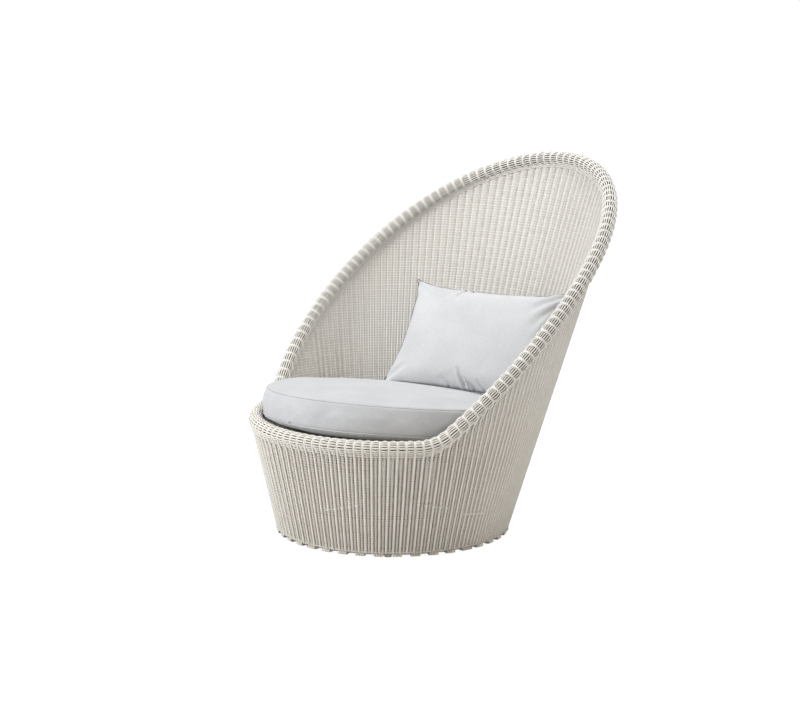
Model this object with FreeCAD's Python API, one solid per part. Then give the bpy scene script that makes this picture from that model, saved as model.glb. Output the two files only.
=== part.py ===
# Outdoor lounge chair: a round woven tub with a tall woven hood, a round seat cushion and a back pillow.
# The woven wall is a leaning cone that a bent rim tube cuts off: level in front, then up in one long slope.
# Units are millimetres. +Z is up, the sitter faces -Y, and the floor is at z = 0.
# Angles round the wall start at the front and run towards +X, so 180 degrees is the back of the hood.

import FreeCAD
import Part

import math
import os

# Woven wall: a cone whose radius grows and whose centre moves back with height.
WALL_BASE_RADIUS = 378.0
WALL_FLARE_SHARE = 0.276
WALL_LEAN_SHARE = 0.0527
WALL_THICKNESS = 6.0
WALL_BOTTOM_HEIGHT = 14.0

# Side view of the rim's centre line: a level front, a fillet, and a long slope with a slight crown.
RIM_FRONT_HEIGHT = 374.0
RIM_TOP_HEIGHT = 1174.0
RIM_CORNER_SETBACK = 169.0
RIM_FILLET_RADIUS = 125.0
RIM_SLOPE_CROWN = 33.0

# Rim: a bent tube inside a thick wrapped roll.
RIM_TUBE_RADIUS = 15.0
RIM_TUBE_WALL = 2.0
RIM_ROLL_RADIUS = 26.5
RIM_FRONT_INSET = 15.0
RIM_INSET_END_ANGLES = (50.0, 95.0)
RIM_STATIONS = 40
RIM_TUBE_SIDES = 8
RIM_ROLL_SIDES = 12

# Square tube of the floor ring and the seat ring, and the flat bar ring between them.
RING_TUBE_SIDE = 20.0
RING_TUBE_WALL = 2.0
MIDDLE_RING_HEIGHT = 140.0
MIDDLE_RING_BAR_WIDTH = 20.0
MIDDLE_RING_BAR_THICKNESS = 4.0

# Square tube posts from the floor ring to the seat ring, above the glides.
POST_COUNT = 8
POST_SIDE = 18.0
POST_WALL = 1.5

# Seat: a woven deck on a tilted ring with three cross bars.
SEAT_TILT = 8.1
SEAT_CENTRE_HEIGHT = 331.0
SEAT_DECK_THICKNESS = 5.0
SEAT_RING_CLEARANCE = 1.0
SEAT_BAR_WIDTH = 25.0
SEAT_BAR_DEPTH = 15.0
SEAT_BAR_WALL = 1.5
SEAT_BAR_PLACE_SHARES = {"front": -0.5, "middle": 0.0, "back": 0.5}

# Arms that carry the rim tube from the seat ring.
ARM_SIDE = 12.0
ARM_ANGLES = (12.0, 36.0, 60.0)

# Stakes: straight canes that stand outside the weave all round.
STAKE_COUNT = 104
STAKE_RADIUS = 2.6
STAKE_SIDES = 6

# Flat cane wraps round the floor ring.
WRAP_COUNT = 40
WRAP_WIDTH = 30.0
WRAP_THICKNESS = 1.2

# Nylon glides under the floor ring, one below each post.
GLIDE_HEIGHT = 8.0
GLIDE_RADIUS = 12.0
GLIDE_SIDES = 16

# Seat cushion: a round boxed cushion with a crown on both faces and a side that swells between its seams.
CUSHION_RADIUS = 421.0
CUSHION_SEAM_SPACING = 108.0
CUSHION_TOP_CROWN = 22.0
CUSHION_BOTTOM_CROWN = 14.0
CUSHION_SIDE_SWELL = 10.0
CUSHION_SETBACK = -12.0
CUSHION_SIDE_LEAN = 2.6
CUSHION_WADDING = 18.0
CUSHION_CROWN_SHARES = (0.3, 0.6, 0.85, 1.0)
CUSHION_SIDE_SHARES = (0.6, 0.0, -0.6)
CUSHION_SIDES = 60

# Back pillow: a loose rectangular pillow with pinched corners, leaning back in the hood.
PILLOW_WIDTH = 562.0
PILLOW_HEIGHT = 388.0
PILLOW_THICKNESS = 130.0
PILLOW_EDGE_THICKNESS = 8.0
PILLOW_SIDE_DRAW = 16.0
PILLOW_TURN = 22.6
PILLOW_LEAN = 39.0
PILLOW_FOOT_X = 44.0
PILLOW_FOOT_Y = 245.0
PILLOW_FOOT_LIFT = -1.9
PILLOW_STATION_SHARES = (-1.0, -0.96, -0.85, -0.66, -0.35, 0.0, 0.35, 0.66, 0.85, 0.96, 1.0)
PILLOW_SWELL_SHARES = (-1.0, -0.96, -0.85, -0.66, -0.35, 0.0, 0.35, 0.66, 0.85, 0.96, 1.0)

# Clearances.
SEAT_CLEARANCE = 0.3
WEAVE_CLEARANCE = 0.3
CUT_OVERRUN = 40.0
TANGENT_STEP = 0.01

UP = FreeCAD.Vector(0, 0, 1)
ORIGIN = FreeCAD.Vector(0, 0, 0)


def wall_radius(height):
    return WALL_BASE_RADIUS + WALL_FLARE_SHARE * height


def wall_centre(height):
    return FreeCAD.Vector(0, WALL_LEAN_SHARE * height, height)


def ring_direction(angle):
    """Level unit direction from the middle of the chair at this angle."""
    turn = math.radians(angle)
    return FreeCAD.Vector(math.sin(turn), -math.cos(turn), 0)


def wall_point(angle, height):
    """Point of the wall's middle surface on the straight line that stands at this angle."""
    return wall_centre(height) + ring_direction(angle) * wall_radius(height)


def wall_rise(angle):
    """Unit direction of the wall's straight line at this angle."""
    rise = wall_point(angle, RIM_TOP_HEIGHT) - wall_point(angle, 0)
    return rise.normalize()


def wall_normal(angle):
    """Outward unit normal, the same all the way up one straight line of the wall."""
    along = UP.cross(ring_direction(angle))
    return along.cross(wall_rise(angle)).normalize()


def slope_outline():
    """Side view of the rim's centre line: corner, middle and end of the long slope, as (y, z)."""
    corner_y = -RIM_CORNER_SETBACK
    end_y = wall_point(180.0, RIM_TOP_HEIGHT).y
    run = end_y - corner_y
    rise = RIM_TOP_HEIGHT - RIM_FRONT_HEIGHT
    length = math.hypot(run, rise)
    middle_y = corner_y + run / 2 - RIM_SLOPE_CROWN * rise / length
    middle_z = RIM_FRONT_HEIGHT + rise / 2 + RIM_SLOPE_CROWN * run / length
    return (corner_y, RIM_FRONT_HEIGHT), (middle_y, middle_z), (end_y, RIM_TOP_HEIGHT)


def slope_circle():
    """Centre and radius of the long slope's arc in the side view."""
    start, middle, end = slope_outline()
    half_chord = math.hypot(end[0] - start[0], end[1] - start[1]) / 2
    radius = (half_chord ** 2 + RIM_SLOPE_CROWN ** 2) / (2 * RIM_SLOPE_CROWN)
    chord_middle = ((start[0] + end[0]) / 2, (start[1] + end[1]) / 2)
    inward = ((chord_middle[0] - middle[0]) / RIM_SLOPE_CROWN, (chord_middle[1] - middle[1]) / RIM_SLOPE_CROWN)
    return (middle[0] + inward[0] * radius, middle[1] + inward[1] * radius), radius


def fillet_centre():
    """Centre of the fillet that touches the level front from above and the slope's arc from outside."""
    slope_centre, slope_radius = slope_circle()
    centre_z = RIM_FRONT_HEIGHT + RIM_FILLET_RADIUS
    reach = slope_radius + RIM_FILLET_RADIUS
    drop = centre_z - slope_centre[1]
    return slope_centre[0] - math.sqrt(reach ** 2 - drop ** 2), centre_z


def rim_side_height(y):
    """Height of the rim's centre line in the side view."""
    slope_centre, slope_radius = slope_circle()
    centre_y, centre_z = fillet_centre()
    share = RIM_FILLET_RADIUS / (slope_radius + RIM_FILLET_RADIUS)
    fillet_end_y = centre_y + (slope_centre[0] - centre_y) * share
    if y <= centre_y:
        return RIM_FRONT_HEIGHT
    if y <= fillet_end_y:
        return centre_z - math.sqrt(RIM_FILLET_RADIUS ** 2 - (y - centre_y) ** 2)
    return slope_centre[1] + math.sqrt(slope_radius ** 2 - (y - slope_centre[0]) ** 2)


def rim_inset(angle):
    """How far the rim's centre line lies inside the wall: most along the front, none round the hood."""
    start, end = RIM_INSET_END_ANGLES
    off_front = abs((angle + 180.0) % 360.0 - 180.0)
    blend = min(max((off_front - start) / (end - start), 0.0), 1.0)
    return RIM_FRONT_INSET * (1 + math.cos(math.pi * blend)) / 2


def rim_point(angle):
    """Point of the rim's centre line, found by halving the height range on the wall's straight line."""
    low = 0.0
    high = 2 * RIM_TOP_HEIGHT
    for _ in range(60):
        middle = (low + high) / 2
        if middle < rim_side_height(min(wall_point(angle, middle).y, slope_outline()[2][0])):
            low = middle
        else:
            high = middle
    return wall_point(angle, (low + high) / 2) - ring_direction(angle) * rim_inset(angle)


def rim_tangent(angle):
    ahead = rim_point(angle + TANGENT_STEP)
    behind = rim_point(angle - TANGENT_STEP)
    return (ahead - behind).normalize()


def rim_section(angle, radius, sides):
    """Many-sided section round the rim's centre line, with its first corner on the wall's outer side."""
    tangent = rim_tangent(angle)
    outward = wall_normal(angle)
    first = (outward - tangent * outward.dot(tangent)).normalize()
    second = tangent.cross(first)
    middle = rim_point(angle)
    corners = []
    for side in range(sides + 1):
        turn = 2 * math.pi * side / sides
        corners.append(middle + (first * math.cos(turn) + second * math.sin(turn)) * radius)
    return Part.makePolygon(corners)


def rim_bar(radius, sides):
    """Solid bar along the whole rim, lofted up one side and mirrored to the other."""
    step = 360.0 / RIM_STATIONS
    sections = [rim_section(step * number, radius, sides) for number in range(RIM_STATIONS // 2 + 1)]
    right = Part.makeLoft(sections, True, True)
    left = right.mirror(ORIGIN, FreeCAD.Vector(1, 0, 0))
    return right.fuse(left)


def make_rim_tube():
    outer = rim_bar(RIM_TUBE_RADIUS, RIM_TUBE_SIDES)
    bore = rim_bar(RIM_TUBE_RADIUS - RIM_TUBE_WALL, RIM_TUBE_SIDES)
    return outer.cut(bore)


def cone(offset, low, high):
    """Solid leaning cone between two heights, offset outwards from the wall, with a flat strip between stakes."""
    sections = []
    for height in (low, high):
        radius = wall_radius(height) + offset
        corners = []
        for number in range(STAKE_COUNT + 1):
            corners.append(wall_centre(height) + ring_direction(360.0 * number / STAKE_COUNT) * radius)
        sections.append(Part.makePolygon(corners))
    return Part.makeLoft(sections, True, True)


def below_rim():
    """Slab as seen from the side, everything under the rim's centre line."""
    start, middle, end = slope_outline()
    centre_y, centre_z = fillet_centre()
    slope_centre, slope_radius = slope_circle()
    share = RIM_FILLET_RADIUS / (slope_radius + RIM_FILLET_RADIUS)
    front_y = -wall_radius(RIM_FRONT_HEIGHT) - CUT_OVERRUN
    fillet_end = (centre_y + (slope_centre[0] - centre_y) * share, centre_z + (slope_centre[1] - centre_z) * share)
    half_turn = (math.pi / 2 - math.atan2(centre_z - slope_centre[1], slope_centre[0] - centre_y)) / 2
    fillet_middle = (centre_y + RIM_FILLET_RADIUS * math.sin(half_turn),
                     centre_z - RIM_FILLET_RADIUS * math.cos(half_turn))

    def at(place):
        return FreeCAD.Vector(-2 * WALL_BASE_RADIUS, place[0], place[1])

    past_end = (end[0] + CUT_OVERRUN, end[1])
    edges = [
        Part.makeLine(at((front_y, 0)), at((front_y, RIM_FRONT_HEIGHT))),
        Part.makeLine(at((front_y, RIM_FRONT_HEIGHT)), at((centre_y, RIM_FRONT_HEIGHT))),
        Part.Arc(at((centre_y, RIM_FRONT_HEIGHT)), at(fillet_middle), at(fillet_end)).toShape(),
        Part.Arc(at(fillet_end), at(middle), at(end)).toShape(),
        Part.makeLine(at(end), at(past_end)),
        Part.makeLine(at(past_end), at((past_end[0], 0))),
        Part.makeLine(at((past_end[0], 0)), at((front_y, 0))),
    ]
    return Part.Face(Part.Wire(edges)).extrude(FreeCAD.Vector(4 * WALL_BASE_RADIUS, 0, 0))


def make_wall_weave(roll_space):
    top = RIM_TOP_HEIGHT + CUT_OVERRUN
    outer = cone(WALL_THICKNESS / 2, WALL_BOTTOM_HEIGHT, top)
    inner = cone(-WALL_THICKNESS / 2, WALL_BOTTOM_HEIGHT - CUT_OVERRUN, top + CUT_OVERRUN)
    shell = outer.cut(inner).common(below_rim())
    return shell.cut(roll_space)


def stake_end_height(angle, rim_line):
    """Height where a stake at this angle stops under the roll."""
    reach = RIM_ROLL_RADIUS + STAKE_RADIUS + WEAVE_CLEARANCE
    out = wall_normal(angle) * (WALL_THICKNESS / 2 + STAKE_RADIUS + WEAVE_CLEARANCE)
    low = WALL_BOTTOM_HEIGHT
    high = rim_point(angle).z
    for _ in range(24):
        middle = (low + high) / 2
        tip = wall_point(angle, middle) + out
        if min(tip.distanceToPoint(place) for place in rim_line) > reach:
            low = middle
        else:
            high = middle
    return low


def make_wall_stakes():
    """Canes that stand on the wall's outside along its straight lines."""
    rim_line = [rim_point(angle) for angle in range(360)]
    stakes = []
    for number in range(STAKE_COUNT):
        angle = 360.0 * number / STAKE_COUNT
        out = wall_normal(angle)
        rise = wall_rise(angle)
        across = rise.cross(out)
        foot = wall_point(angle, WALL_BOTTOM_HEIGHT) + out * (WALL_THICKNESS / 2 + STAKE_RADIUS + WEAVE_CLEARANCE)
        corners = []
        for side in range(STAKE_SIDES + 1):
            turn = 2 * math.pi * side / STAKE_SIDES
            corners.append(foot + (out * math.cos(turn) + across * math.sin(turn)) * STAKE_RADIUS)
        length = (stake_end_height(angle, rim_line) - WALL_BOTTOM_HEIGHT) / rise.z
        stakes.append(Part.Face(Part.makePolygon(corners)).extrude(rise * length))
    return Part.makeCompound(stakes)


def seat_placement(depth=0.0):
    """Frame on the seat's tilted plane, this far below the deck's top face."""
    tilt = FreeCAD.Rotation(FreeCAD.Vector(1, 0, 0), -SEAT_TILT)
    down = tilt.multVec(UP) * -depth
    return FreeCAD.Placement(FreeCAD.Vector(0, 0, SEAT_CENTRE_HEIGHT) + down, tilt)


def square_tube_ring(radius, side, wall):
    """Hollow square tube rolled to a ring round the Z axis, its top face at z = 0."""
    outer = ring_bar(radius, side, side)
    bore = ring_bar(radius, side - 2 * wall, side - 2 * wall)
    bore.translate(FreeCAD.Vector(0, 0, -wall))
    return outer.cut(bore)


def ring_bar(radius, width, depth):
    """Rectangular bar rolled to a ring round the Z axis, its top face at z = 0."""
    inner = radius - width / 2
    outer = radius + width / 2
    corners = [(inner, 0), (outer, 0), (outer, -depth), (inner, -depth), (inner, 0)]
    outline = Part.makePolygon([FreeCAD.Vector(x, 0, z) for x, z in corners])
    return Part.Face(outline).revolve(ORIGIN, UP, 360)


def floor_ring_top():
    return GLIDE_HEIGHT + RING_TUBE_SIDE


def floor_ring_radius():
    """Centre radius that leaves room for the wraps inside the weave."""
    middle_height = GLIDE_HEIGHT + RING_TUBE_SIDE / 2
    wrap_space = WRAP_THICKNESS + 2 * WEAVE_CLEARANCE
    return wall_radius(middle_height - RING_TUBE_SIDE) - WALL_THICKNESS / 2 - wrap_space - RING_TUBE_SIDE / 2


def floor_ring_centre():
    return wall_centre(GLIDE_HEIGHT + RING_TUBE_SIDE / 2)


def floor_ring_placement():
    return FreeCAD.Placement(FreeCAD.Vector(0, floor_ring_centre().y, floor_ring_top()), FreeCAD.Rotation())


def make_floor_ring():
    ring = square_tube_ring(floor_ring_radius(), RING_TUBE_SIDE, RING_TUBE_WALL)
    ring.Placement = floor_ring_placement()
    return ring


def make_middle_ring():
    """Flat bar ring that lies against the weave's inner face."""
    low = MIDDLE_RING_HEIGHT - MIDDLE_RING_BAR_WIDTH / 2
    high = MIDDLE_RING_HEIGHT + MIDDLE_RING_BAR_WIDTH / 2
    outer_offset = -WALL_THICKNESS / 2 - WEAVE_CLEARANCE
    outer = cone(outer_offset, low, high)
    inner = cone(outer_offset - MIDDLE_RING_BAR_THICKNESS, low - CUT_OVERRUN, high + CUT_OVERRUN)
    return outer.cut(inner)


def seat_ring_radius():
    """Centre radius that keeps the seat ring's lower corner just inside the front of the roll."""
    tilt = math.radians(SEAT_TILT)
    corner_advance = (SEAT_DECK_THICKNESS + RING_TUBE_SIDE) * math.sin(tilt)
    reach = -rim_point(0.0).y - RIM_ROLL_RADIUS - SEAT_RING_CLEARANCE - corner_advance
    return reach / math.cos(tilt) - RING_TUBE_SIDE / 2


def make_seat_ring():
    ring = square_tube_ring(seat_ring_radius(), RING_TUBE_SIDE, RING_TUBE_WALL)
    ring.Placement = seat_placement(SEAT_DECK_THICKNESS)
    return ring


def make_seat_bar(place_share):
    """Hollow cross bar under the deck, its ends against the inside of the seat ring."""
    inside_radius = seat_ring_radius() - RING_TUBE_SIDE / 2
    reach = 2 * inside_radius
    centre_y = place_share * inside_radius
    low = FreeCAD.Vector(-reach / 2, centre_y - SEAT_BAR_WIDTH / 2, -SEAT_BAR_DEPTH)
    outer = Part.makeBox(reach, SEAT_BAR_WIDTH, SEAT_BAR_DEPTH, low)
    bore_low = low + FreeCAD.Vector(-SEAT_BAR_WALL, SEAT_BAR_WALL, SEAT_BAR_WALL)
    bore = Part.makeBox(reach + 2 * SEAT_BAR_WALL, SEAT_BAR_WIDTH - 2 * SEAT_BAR_WALL,
                        SEAT_BAR_DEPTH - 2 * SEAT_BAR_WALL, bore_low)
    inside = Part.makeCylinder(inside_radius, SEAT_BAR_DEPTH, FreeCAD.Vector(0, 0, -SEAT_BAR_DEPTH))
    bar = outer.cut(bore).common(inside)
    bar.Placement = seat_placement(SEAT_DECK_THICKNESS)
    return bar


def post_angle(number):
    """Posts and glides stand midway between two wraps."""
    wrap_step = 360.0 / WRAP_COUNT
    return 360.0 * number / POST_COUNT + wrap_step / 2


def square_bar(start, end, sideways, side, overrun):
    """Square bar round the line between two points, run past both, with one pair of faces square to sideways."""
    along = (end - start).normalize()
    inward = along.cross(sideways).normalize()
    foot = start - along * overrun
    shares = [(-1, -1), (1, -1), (1, 1), (-1, 1), (-1, -1)]
    corners = [foot + (sideways * a + inward * b) * (side / 2) for a, b in shares]
    return Part.Face(Part.makePolygon(corners)).extrude(along * ((end - start).Length + 2 * overrun))


def make_post(number):
    """Leaning square tube from the floor ring's top face to the seat ring's underside."""
    direction = ring_direction(post_angle(number))
    foot = floor_ring_placement().multVec(direction * floor_ring_radius())
    seat_under = seat_placement(SEAT_DECK_THICKNESS + RING_TUBE_SIDE)
    head = seat_under.multVec(direction * seat_ring_radius())
    sideways = UP.cross(direction)
    tube = square_bar(foot, head, sideways, POST_SIDE, CUT_OVERRUN)
    bore = square_bar(foot, head, sideways, POST_SIDE - 2 * POST_WALL, CUT_OVERRUN)
    size = 4 * WALL_BASE_RADIUS
    under = Part.makeBox(size, size, size, FreeCAD.Vector(-size / 2, -size / 2, floor_ring_top() - size))
    over = Part.makeBox(size, size, size, FreeCAD.Vector(-size / 2, -size / 2, 0))
    over.Placement = seat_under.multiply(over.Placement)
    return tube.cut(bore).cut(under).cut(over)


def largest(shape):
    """The main solid of a cut, without the slivers that fall off it."""
    return max(shape.Solids, key=lambda solid: solid.Volume)


def arm_bar(number, side_length):
    """Square bar from the lower part of the seat ring to the rim's centre line."""
    angle = ARM_ANGLES[number // 2]
    side = 1 - 2 * (number % 2)
    arm_level = seat_placement(SEAT_DECK_THICKNESS + RING_TUBE_SIDE - ARM_SIDE / 2)
    direction = ring_direction(angle * side)
    start = arm_level.multVec(direction * seat_ring_radius())
    end = rim_point(angle * side)
    sideways = UP.cross(end - start).normalize()
    return square_bar(start, end, sideways, side_length, 0)


def make_arms(rim_solid):
    """Arms trimmed to end on the seat ring's outer face and on the rim tube."""
    ring_block = ring_bar(seat_ring_radius(), RING_TUBE_SIDE, RING_TUBE_SIDE)
    ring_block.Placement = seat_placement(SEAT_DECK_THICKNESS)
    arms = []
    for number in range(2 * len(ARM_ANGLES)):
        arms.append(largest(arm_bar(number, ARM_SIDE).cut(ring_block).cut(rim_solid)))
    return Part.makeCompound(arms)


def make_arm_spaces():
    """The arms and a little room round them, for the holes in what they pass through."""
    bars = [arm_bar(number, ARM_SIDE + 2 * WEAVE_CLEARANCE) for number in range(2 * len(ARM_ANGLES))]
    return Part.makeCompound(bars)


def make_rim_roll(arm_spaces):
    """Wrapped roll round the rim tube, with a hole for each arm."""
    outer = rim_bar(RIM_ROLL_RADIUS, RIM_ROLL_SIDES)
    tube_space = rim_bar(RIM_TUBE_RADIUS + WEAVE_CLEARANCE, RIM_TUBE_SIDES)
    return outer.cut(tube_space).cut(arm_spaces)


def make_seat_deck(roll_space, arm_spaces):
    """Woven deck on the seat ring, out to the wall all round, without the slivers that the roll cuts off."""
    frame = seat_placement(SEAT_DECK_THICKNESS)
    normal = frame.Rotation.multVec(UP)
    disc = Part.makeCylinder(2 * seat_ring_radius(), SEAT_DECK_THICKNESS, frame.Base, normal)
    inside = cone(-WALL_THICKNESS / 2 - WEAVE_CLEARANCE, 0, RIM_TOP_HEIGHT)
    return largest(disc.common(inside).cut(roll_space).cut(arm_spaces))


def make_wraps():
    """Flat cane bands round the floor ring, side by side with gaps between them."""
    bow = WRAP_WIDTH ** 2 / (8 * floor_ring_radius())
    hole_side = RING_TUBE_SIDE + 2 * (WEAVE_CLEARANCE + bow)
    band_side = hole_side + 2 * WRAP_THICKNESS
    middle = floor_ring_placement().Base - UP * (RING_TUBE_SIDE / 2)
    wraps = []
    for number in range(WRAP_COUNT):
        direction = ring_direction(360.0 * number / WRAP_COUNT)
        half_length = UP.cross(direction) * (WRAP_WIDTH / 2)
        centre = middle + direction * floor_ring_radius()
        band = square_bar(centre - half_length, centre + half_length, direction, band_side, 0)
        hole = square_bar(centre - half_length, centre + half_length, direction, hole_side, CUT_OVERRUN)
        wraps.append(band.cut(hole))
    return Part.makeCompound(wraps)


def make_glides():
    """Round nylon feet against the floor ring's flat underside."""
    middle = floor_ring_centre()
    glides = []
    for number in range(POST_COUNT):
        place = middle + ring_direction(post_angle(number)) * floor_ring_radius()
        corners = []
        for side in range(GLIDE_SIDES + 1):
            corner = ring_direction(360.0 * side / GLIDE_SIDES) * GLIDE_RADIUS
            corners.append(FreeCAD.Vector(place.x + corner.x, place.y + corner.y, 0))
        glides.append(Part.Face(Part.makePolygon(corners)).extrude(UP * GLIDE_HEIGHT))
    return Part.makeCompound(glides)


def skinned(outlines):
    """Solid with a skin of flat facets over a stack of outlines with equal numbers of corners."""
    faces = [Part.Face(Part.makePolygon(outlines[0] + outlines[0][:1]))]
    for lower, upper in zip(outlines, outlines[1:]):
        count = len(lower)
        for number in range(count):
            after = (number + 1) % count
            faces.append(Part.Face(Part.makePolygon([lower[number], lower[after], upper[after], lower[number]])))
            faces.append(Part.Face(Part.makePolygon([lower[number], upper[after], upper[number], lower[number]])))
    faces.append(Part.Face(Part.makePolygon(outlines[-1] + outlines[-1][:1])))
    solid = Part.Solid(Part.makeShell(faces))
    if solid.Volume < 0:
        solid.reverse()
    return solid


def cushion_placement():
    """Frame at the cushion's middle, laid on the deck and leaning a little to its left side."""
    half = CUSHION_SEAM_SPACING / 2
    crown_radius = (CUSHION_RADIUS ** 2 + CUSHION_BOTTOM_CROWN ** 2) / (2 * CUSHION_BOTTOM_CROWN)
    dip = crown_radius * (1 - math.cos(math.radians(CUSHION_SIDE_LEAN)))
    deck = seat_placement()
    lift = half + CUSHION_BOTTOM_CROWN + dip + SEAT_CLEARANCE
    middle = deck.multVec(FreeCAD.Vector(0, CUSHION_SETBACK, lift))
    lean = FreeCAD.Rotation(FreeCAD.Vector(0, 1, 0), -CUSHION_SIDE_LEAN)
    return FreeCAD.Placement(middle, deck.Rotation.multiply(lean))


def make_cushion_foam():
    """Foam drum inside the cushion, in a plane parallel to the seams."""
    radius = CUSHION_RADIUS - CUSHION_WADDING
    height = CUSHION_SEAM_SPACING - CUSHION_WADDING
    return Part.makeCylinder(radius, height, FreeCAD.Vector(0, 0, -height / 2))


def cushion_outline():
    """Half outline from the top's middle round the side to the bottom's middle, as (radius, height)."""
    half = CUSHION_SEAM_SPACING / 2
    corners = []
    for share in CUSHION_CROWN_SHARES:
        corners.append((CUSHION_RADIUS * share, half + CUSHION_TOP_CROWN * (1 - share ** 2)))
    for share in CUSHION_SIDE_SHARES:
        corners.append((CUSHION_RADIUS + CUSHION_SIDE_SWELL * (1 - share ** 2), half * share))
    for share in reversed(CUSHION_CROWN_SHARES):
        corners.append((CUSHION_RADIUS * share, -half - CUSHION_BOTTOM_CROWN * (1 - share ** 2)))
    return corners


def make_cushion_cover():
    """Round boxed cover: crowned faces, a swelling side, and seams where they meet."""
    outlines = []
    for radius, height in cushion_outline():
        directions = [ring_direction(360.0 * number / CUSHION_SIDES) for number in range(CUSHION_SIDES)]
        outlines.append([direction * radius + UP * height for direction in directions])
    return skinned(outlines)


def pillow_placement():
    """Frame at the middle of the pillow's lower edge: X along the edge, Z up the pillow, -Y to the front."""
    cushion = cushion_placement()
    top = cushion.multVec(FreeCAD.Vector(0, 0, CUSHION_SEAM_SPACING / 2 + CUSHION_TOP_CROWN))
    slope = math.tan(math.radians(SEAT_TILT))
    side_slope = math.tan(math.radians(CUSHION_SIDE_LEAN))
    foot_z = top.z - slope * (PILLOW_FOOT_Y - top.y) + side_slope * PILLOW_FOOT_X
    turn = FreeCAD.Rotation(UP, PILLOW_TURN)
    lean = FreeCAD.Rotation(FreeCAD.Vector(1, 0, 0), -PILLOW_LEAN)
    return FreeCAD.Placement(FreeCAD.Vector(PILLOW_FOOT_X, PILLOW_FOOT_Y, foot_z + PILLOW_FOOT_LIFT),
                             turn.multiply(lean))


def pillow_section(share):
    """Closed lens outline across the pillow at a share of its half width, drawn in between the corners."""
    fullness = math.sqrt(1 - share ** 2)
    edge = PILLOW_EDGE_THICKNESS / 2
    swell = (PILLOW_THICKNESS - PILLOW_EDGE_THICKNESS) / 2 * fullness
    draw = PILLOW_SIDE_DRAW * (1 - share ** 2)
    half_height = PILLOW_HEIGHT / 2 - draw
    front = []
    back = []
    for place in PILLOW_SWELL_SHARES:
        height = PILLOW_HEIGHT / 2 + half_height * place
        depth = edge + swell * math.sqrt(1 - place ** 2)
        front.append(FreeCAD.Vector(share * PILLOW_WIDTH / 2, -depth, height))
        back.append(FreeCAD.Vector(share * PILLOW_WIDTH / 2, depth, height))
    return front + back[::-1]


def make_pillow():
    return skinned([pillow_section(share) for share in PILLOW_STATION_SHARES])


def frame_shift():
    """Moves the model so that its origin is under the middle of its whole length and width."""
    front = rim_point(0.0).y - RIM_ROLL_RADIUS
    back = rim_point(180.0).y + RIM_ROLL_RADIUS
    return FreeCAD.Vector(0, -(front + back) / 2, 0)


def write(name, shape):
    placed = shape.copy()
    placed.translate(frame_shift())
    placed.exportStep(os.path.join("parts", name + ".step"))


def main():
    os.makedirs("parts", exist_ok=True)
    roll_space = rim_bar(RIM_ROLL_RADIUS + WEAVE_CLEARANCE, RIM_ROLL_SIDES)
    rim_solid = rim_bar(RIM_TUBE_RADIUS, RIM_TUBE_SIDES)
    arm_spaces = make_arm_spaces()

    write("floor_ring", make_floor_ring())
    write("middle_ring", make_middle_ring())
    write("seat_ring", make_seat_ring())
    for name, share in SEAT_BAR_PLACE_SHARES.items():
        write("seat_bar_" + name, make_seat_bar(share))
    for number in range(POST_COUNT):
        write("post_" + str(number + 1), make_post(number))
    write("rim_tube", make_rim_tube())
    write("rim_arms", make_arms(rim_solid))
    write("rim_roll", make_rim_roll(arm_spaces))
    write("wall_weave", make_wall_weave(roll_space))
    write("wall_stakes", make_wall_stakes())
    write("seat_deck", make_seat_deck(roll_space, arm_spaces))
    write("floor_wraps", make_wraps())
    write("glides", make_glides())

    foam = make_cushion_foam()
    cover = make_cushion_cover().cut(foam)
    for name, shape in (("seat_cushion_cover", cover), ("seat_cushion_foam", foam)):
        shape.Placement = cushion_placement()
        write(name, shape)
    pillow = make_pillow()
    pillow.Placement = pillow_placement()
    write("back_pillow", pillow)


main()
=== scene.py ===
"""Outdoor lounge chair: woven tub and hood, wrapped rim roll, round seat cushion and a loose back pillow.

Lengths are metres, in the row frame. The wall is a leaning cone. Angles round it start at the front and run
towards +X. Stakes stand along the cone's straight lines and level courses of cane are woven round them.
"""

import math

import bpy
import numpy as np
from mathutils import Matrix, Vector
from mathutils.bvhtree import BVHTree
from mathutils.kdtree import KDTree


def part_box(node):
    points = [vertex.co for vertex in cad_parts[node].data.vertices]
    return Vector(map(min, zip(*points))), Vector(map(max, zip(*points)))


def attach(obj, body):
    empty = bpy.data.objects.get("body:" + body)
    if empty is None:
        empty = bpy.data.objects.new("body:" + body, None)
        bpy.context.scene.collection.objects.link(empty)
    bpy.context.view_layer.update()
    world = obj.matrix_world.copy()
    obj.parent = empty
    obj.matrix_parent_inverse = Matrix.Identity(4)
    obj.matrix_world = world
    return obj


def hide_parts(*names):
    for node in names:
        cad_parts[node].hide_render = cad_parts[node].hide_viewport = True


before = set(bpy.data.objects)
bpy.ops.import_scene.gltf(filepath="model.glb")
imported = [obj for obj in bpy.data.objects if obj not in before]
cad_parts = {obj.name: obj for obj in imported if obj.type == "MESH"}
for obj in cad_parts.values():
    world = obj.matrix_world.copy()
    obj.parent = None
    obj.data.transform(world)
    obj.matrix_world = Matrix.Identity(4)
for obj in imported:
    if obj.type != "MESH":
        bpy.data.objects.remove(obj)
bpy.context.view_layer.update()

RANDOM_SEED = 11

# Woven wall and rim line, as in the CAD. Sections are (half width, half thickness).
WALL_BASE_RADIUS = 0.378
WALL_FLARE_SHARE = 0.276
WALL_LEAN_SHARE = 0.0527
WALL_BOTTOM_HEIGHT = 0.014
RIM_FRONT_HEIGHT = 0.374
RIM_TOP_HEIGHT = 1.174
RIM_CORNER_SETBACK = 0.169
RIM_FILLET_RADIUS = 0.125
RIM_SLOPE_CROWN = 0.033
RIM_FRONT_INSET = 0.015
RIM_INSET_END_ANGLES = (50.0, 95.0)
RIM_ROLL_RADIUS = 0.0265
RING_MIDDLE_HEIGHT = 0.018
RING_TUBE_SIDE = 0.020

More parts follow.
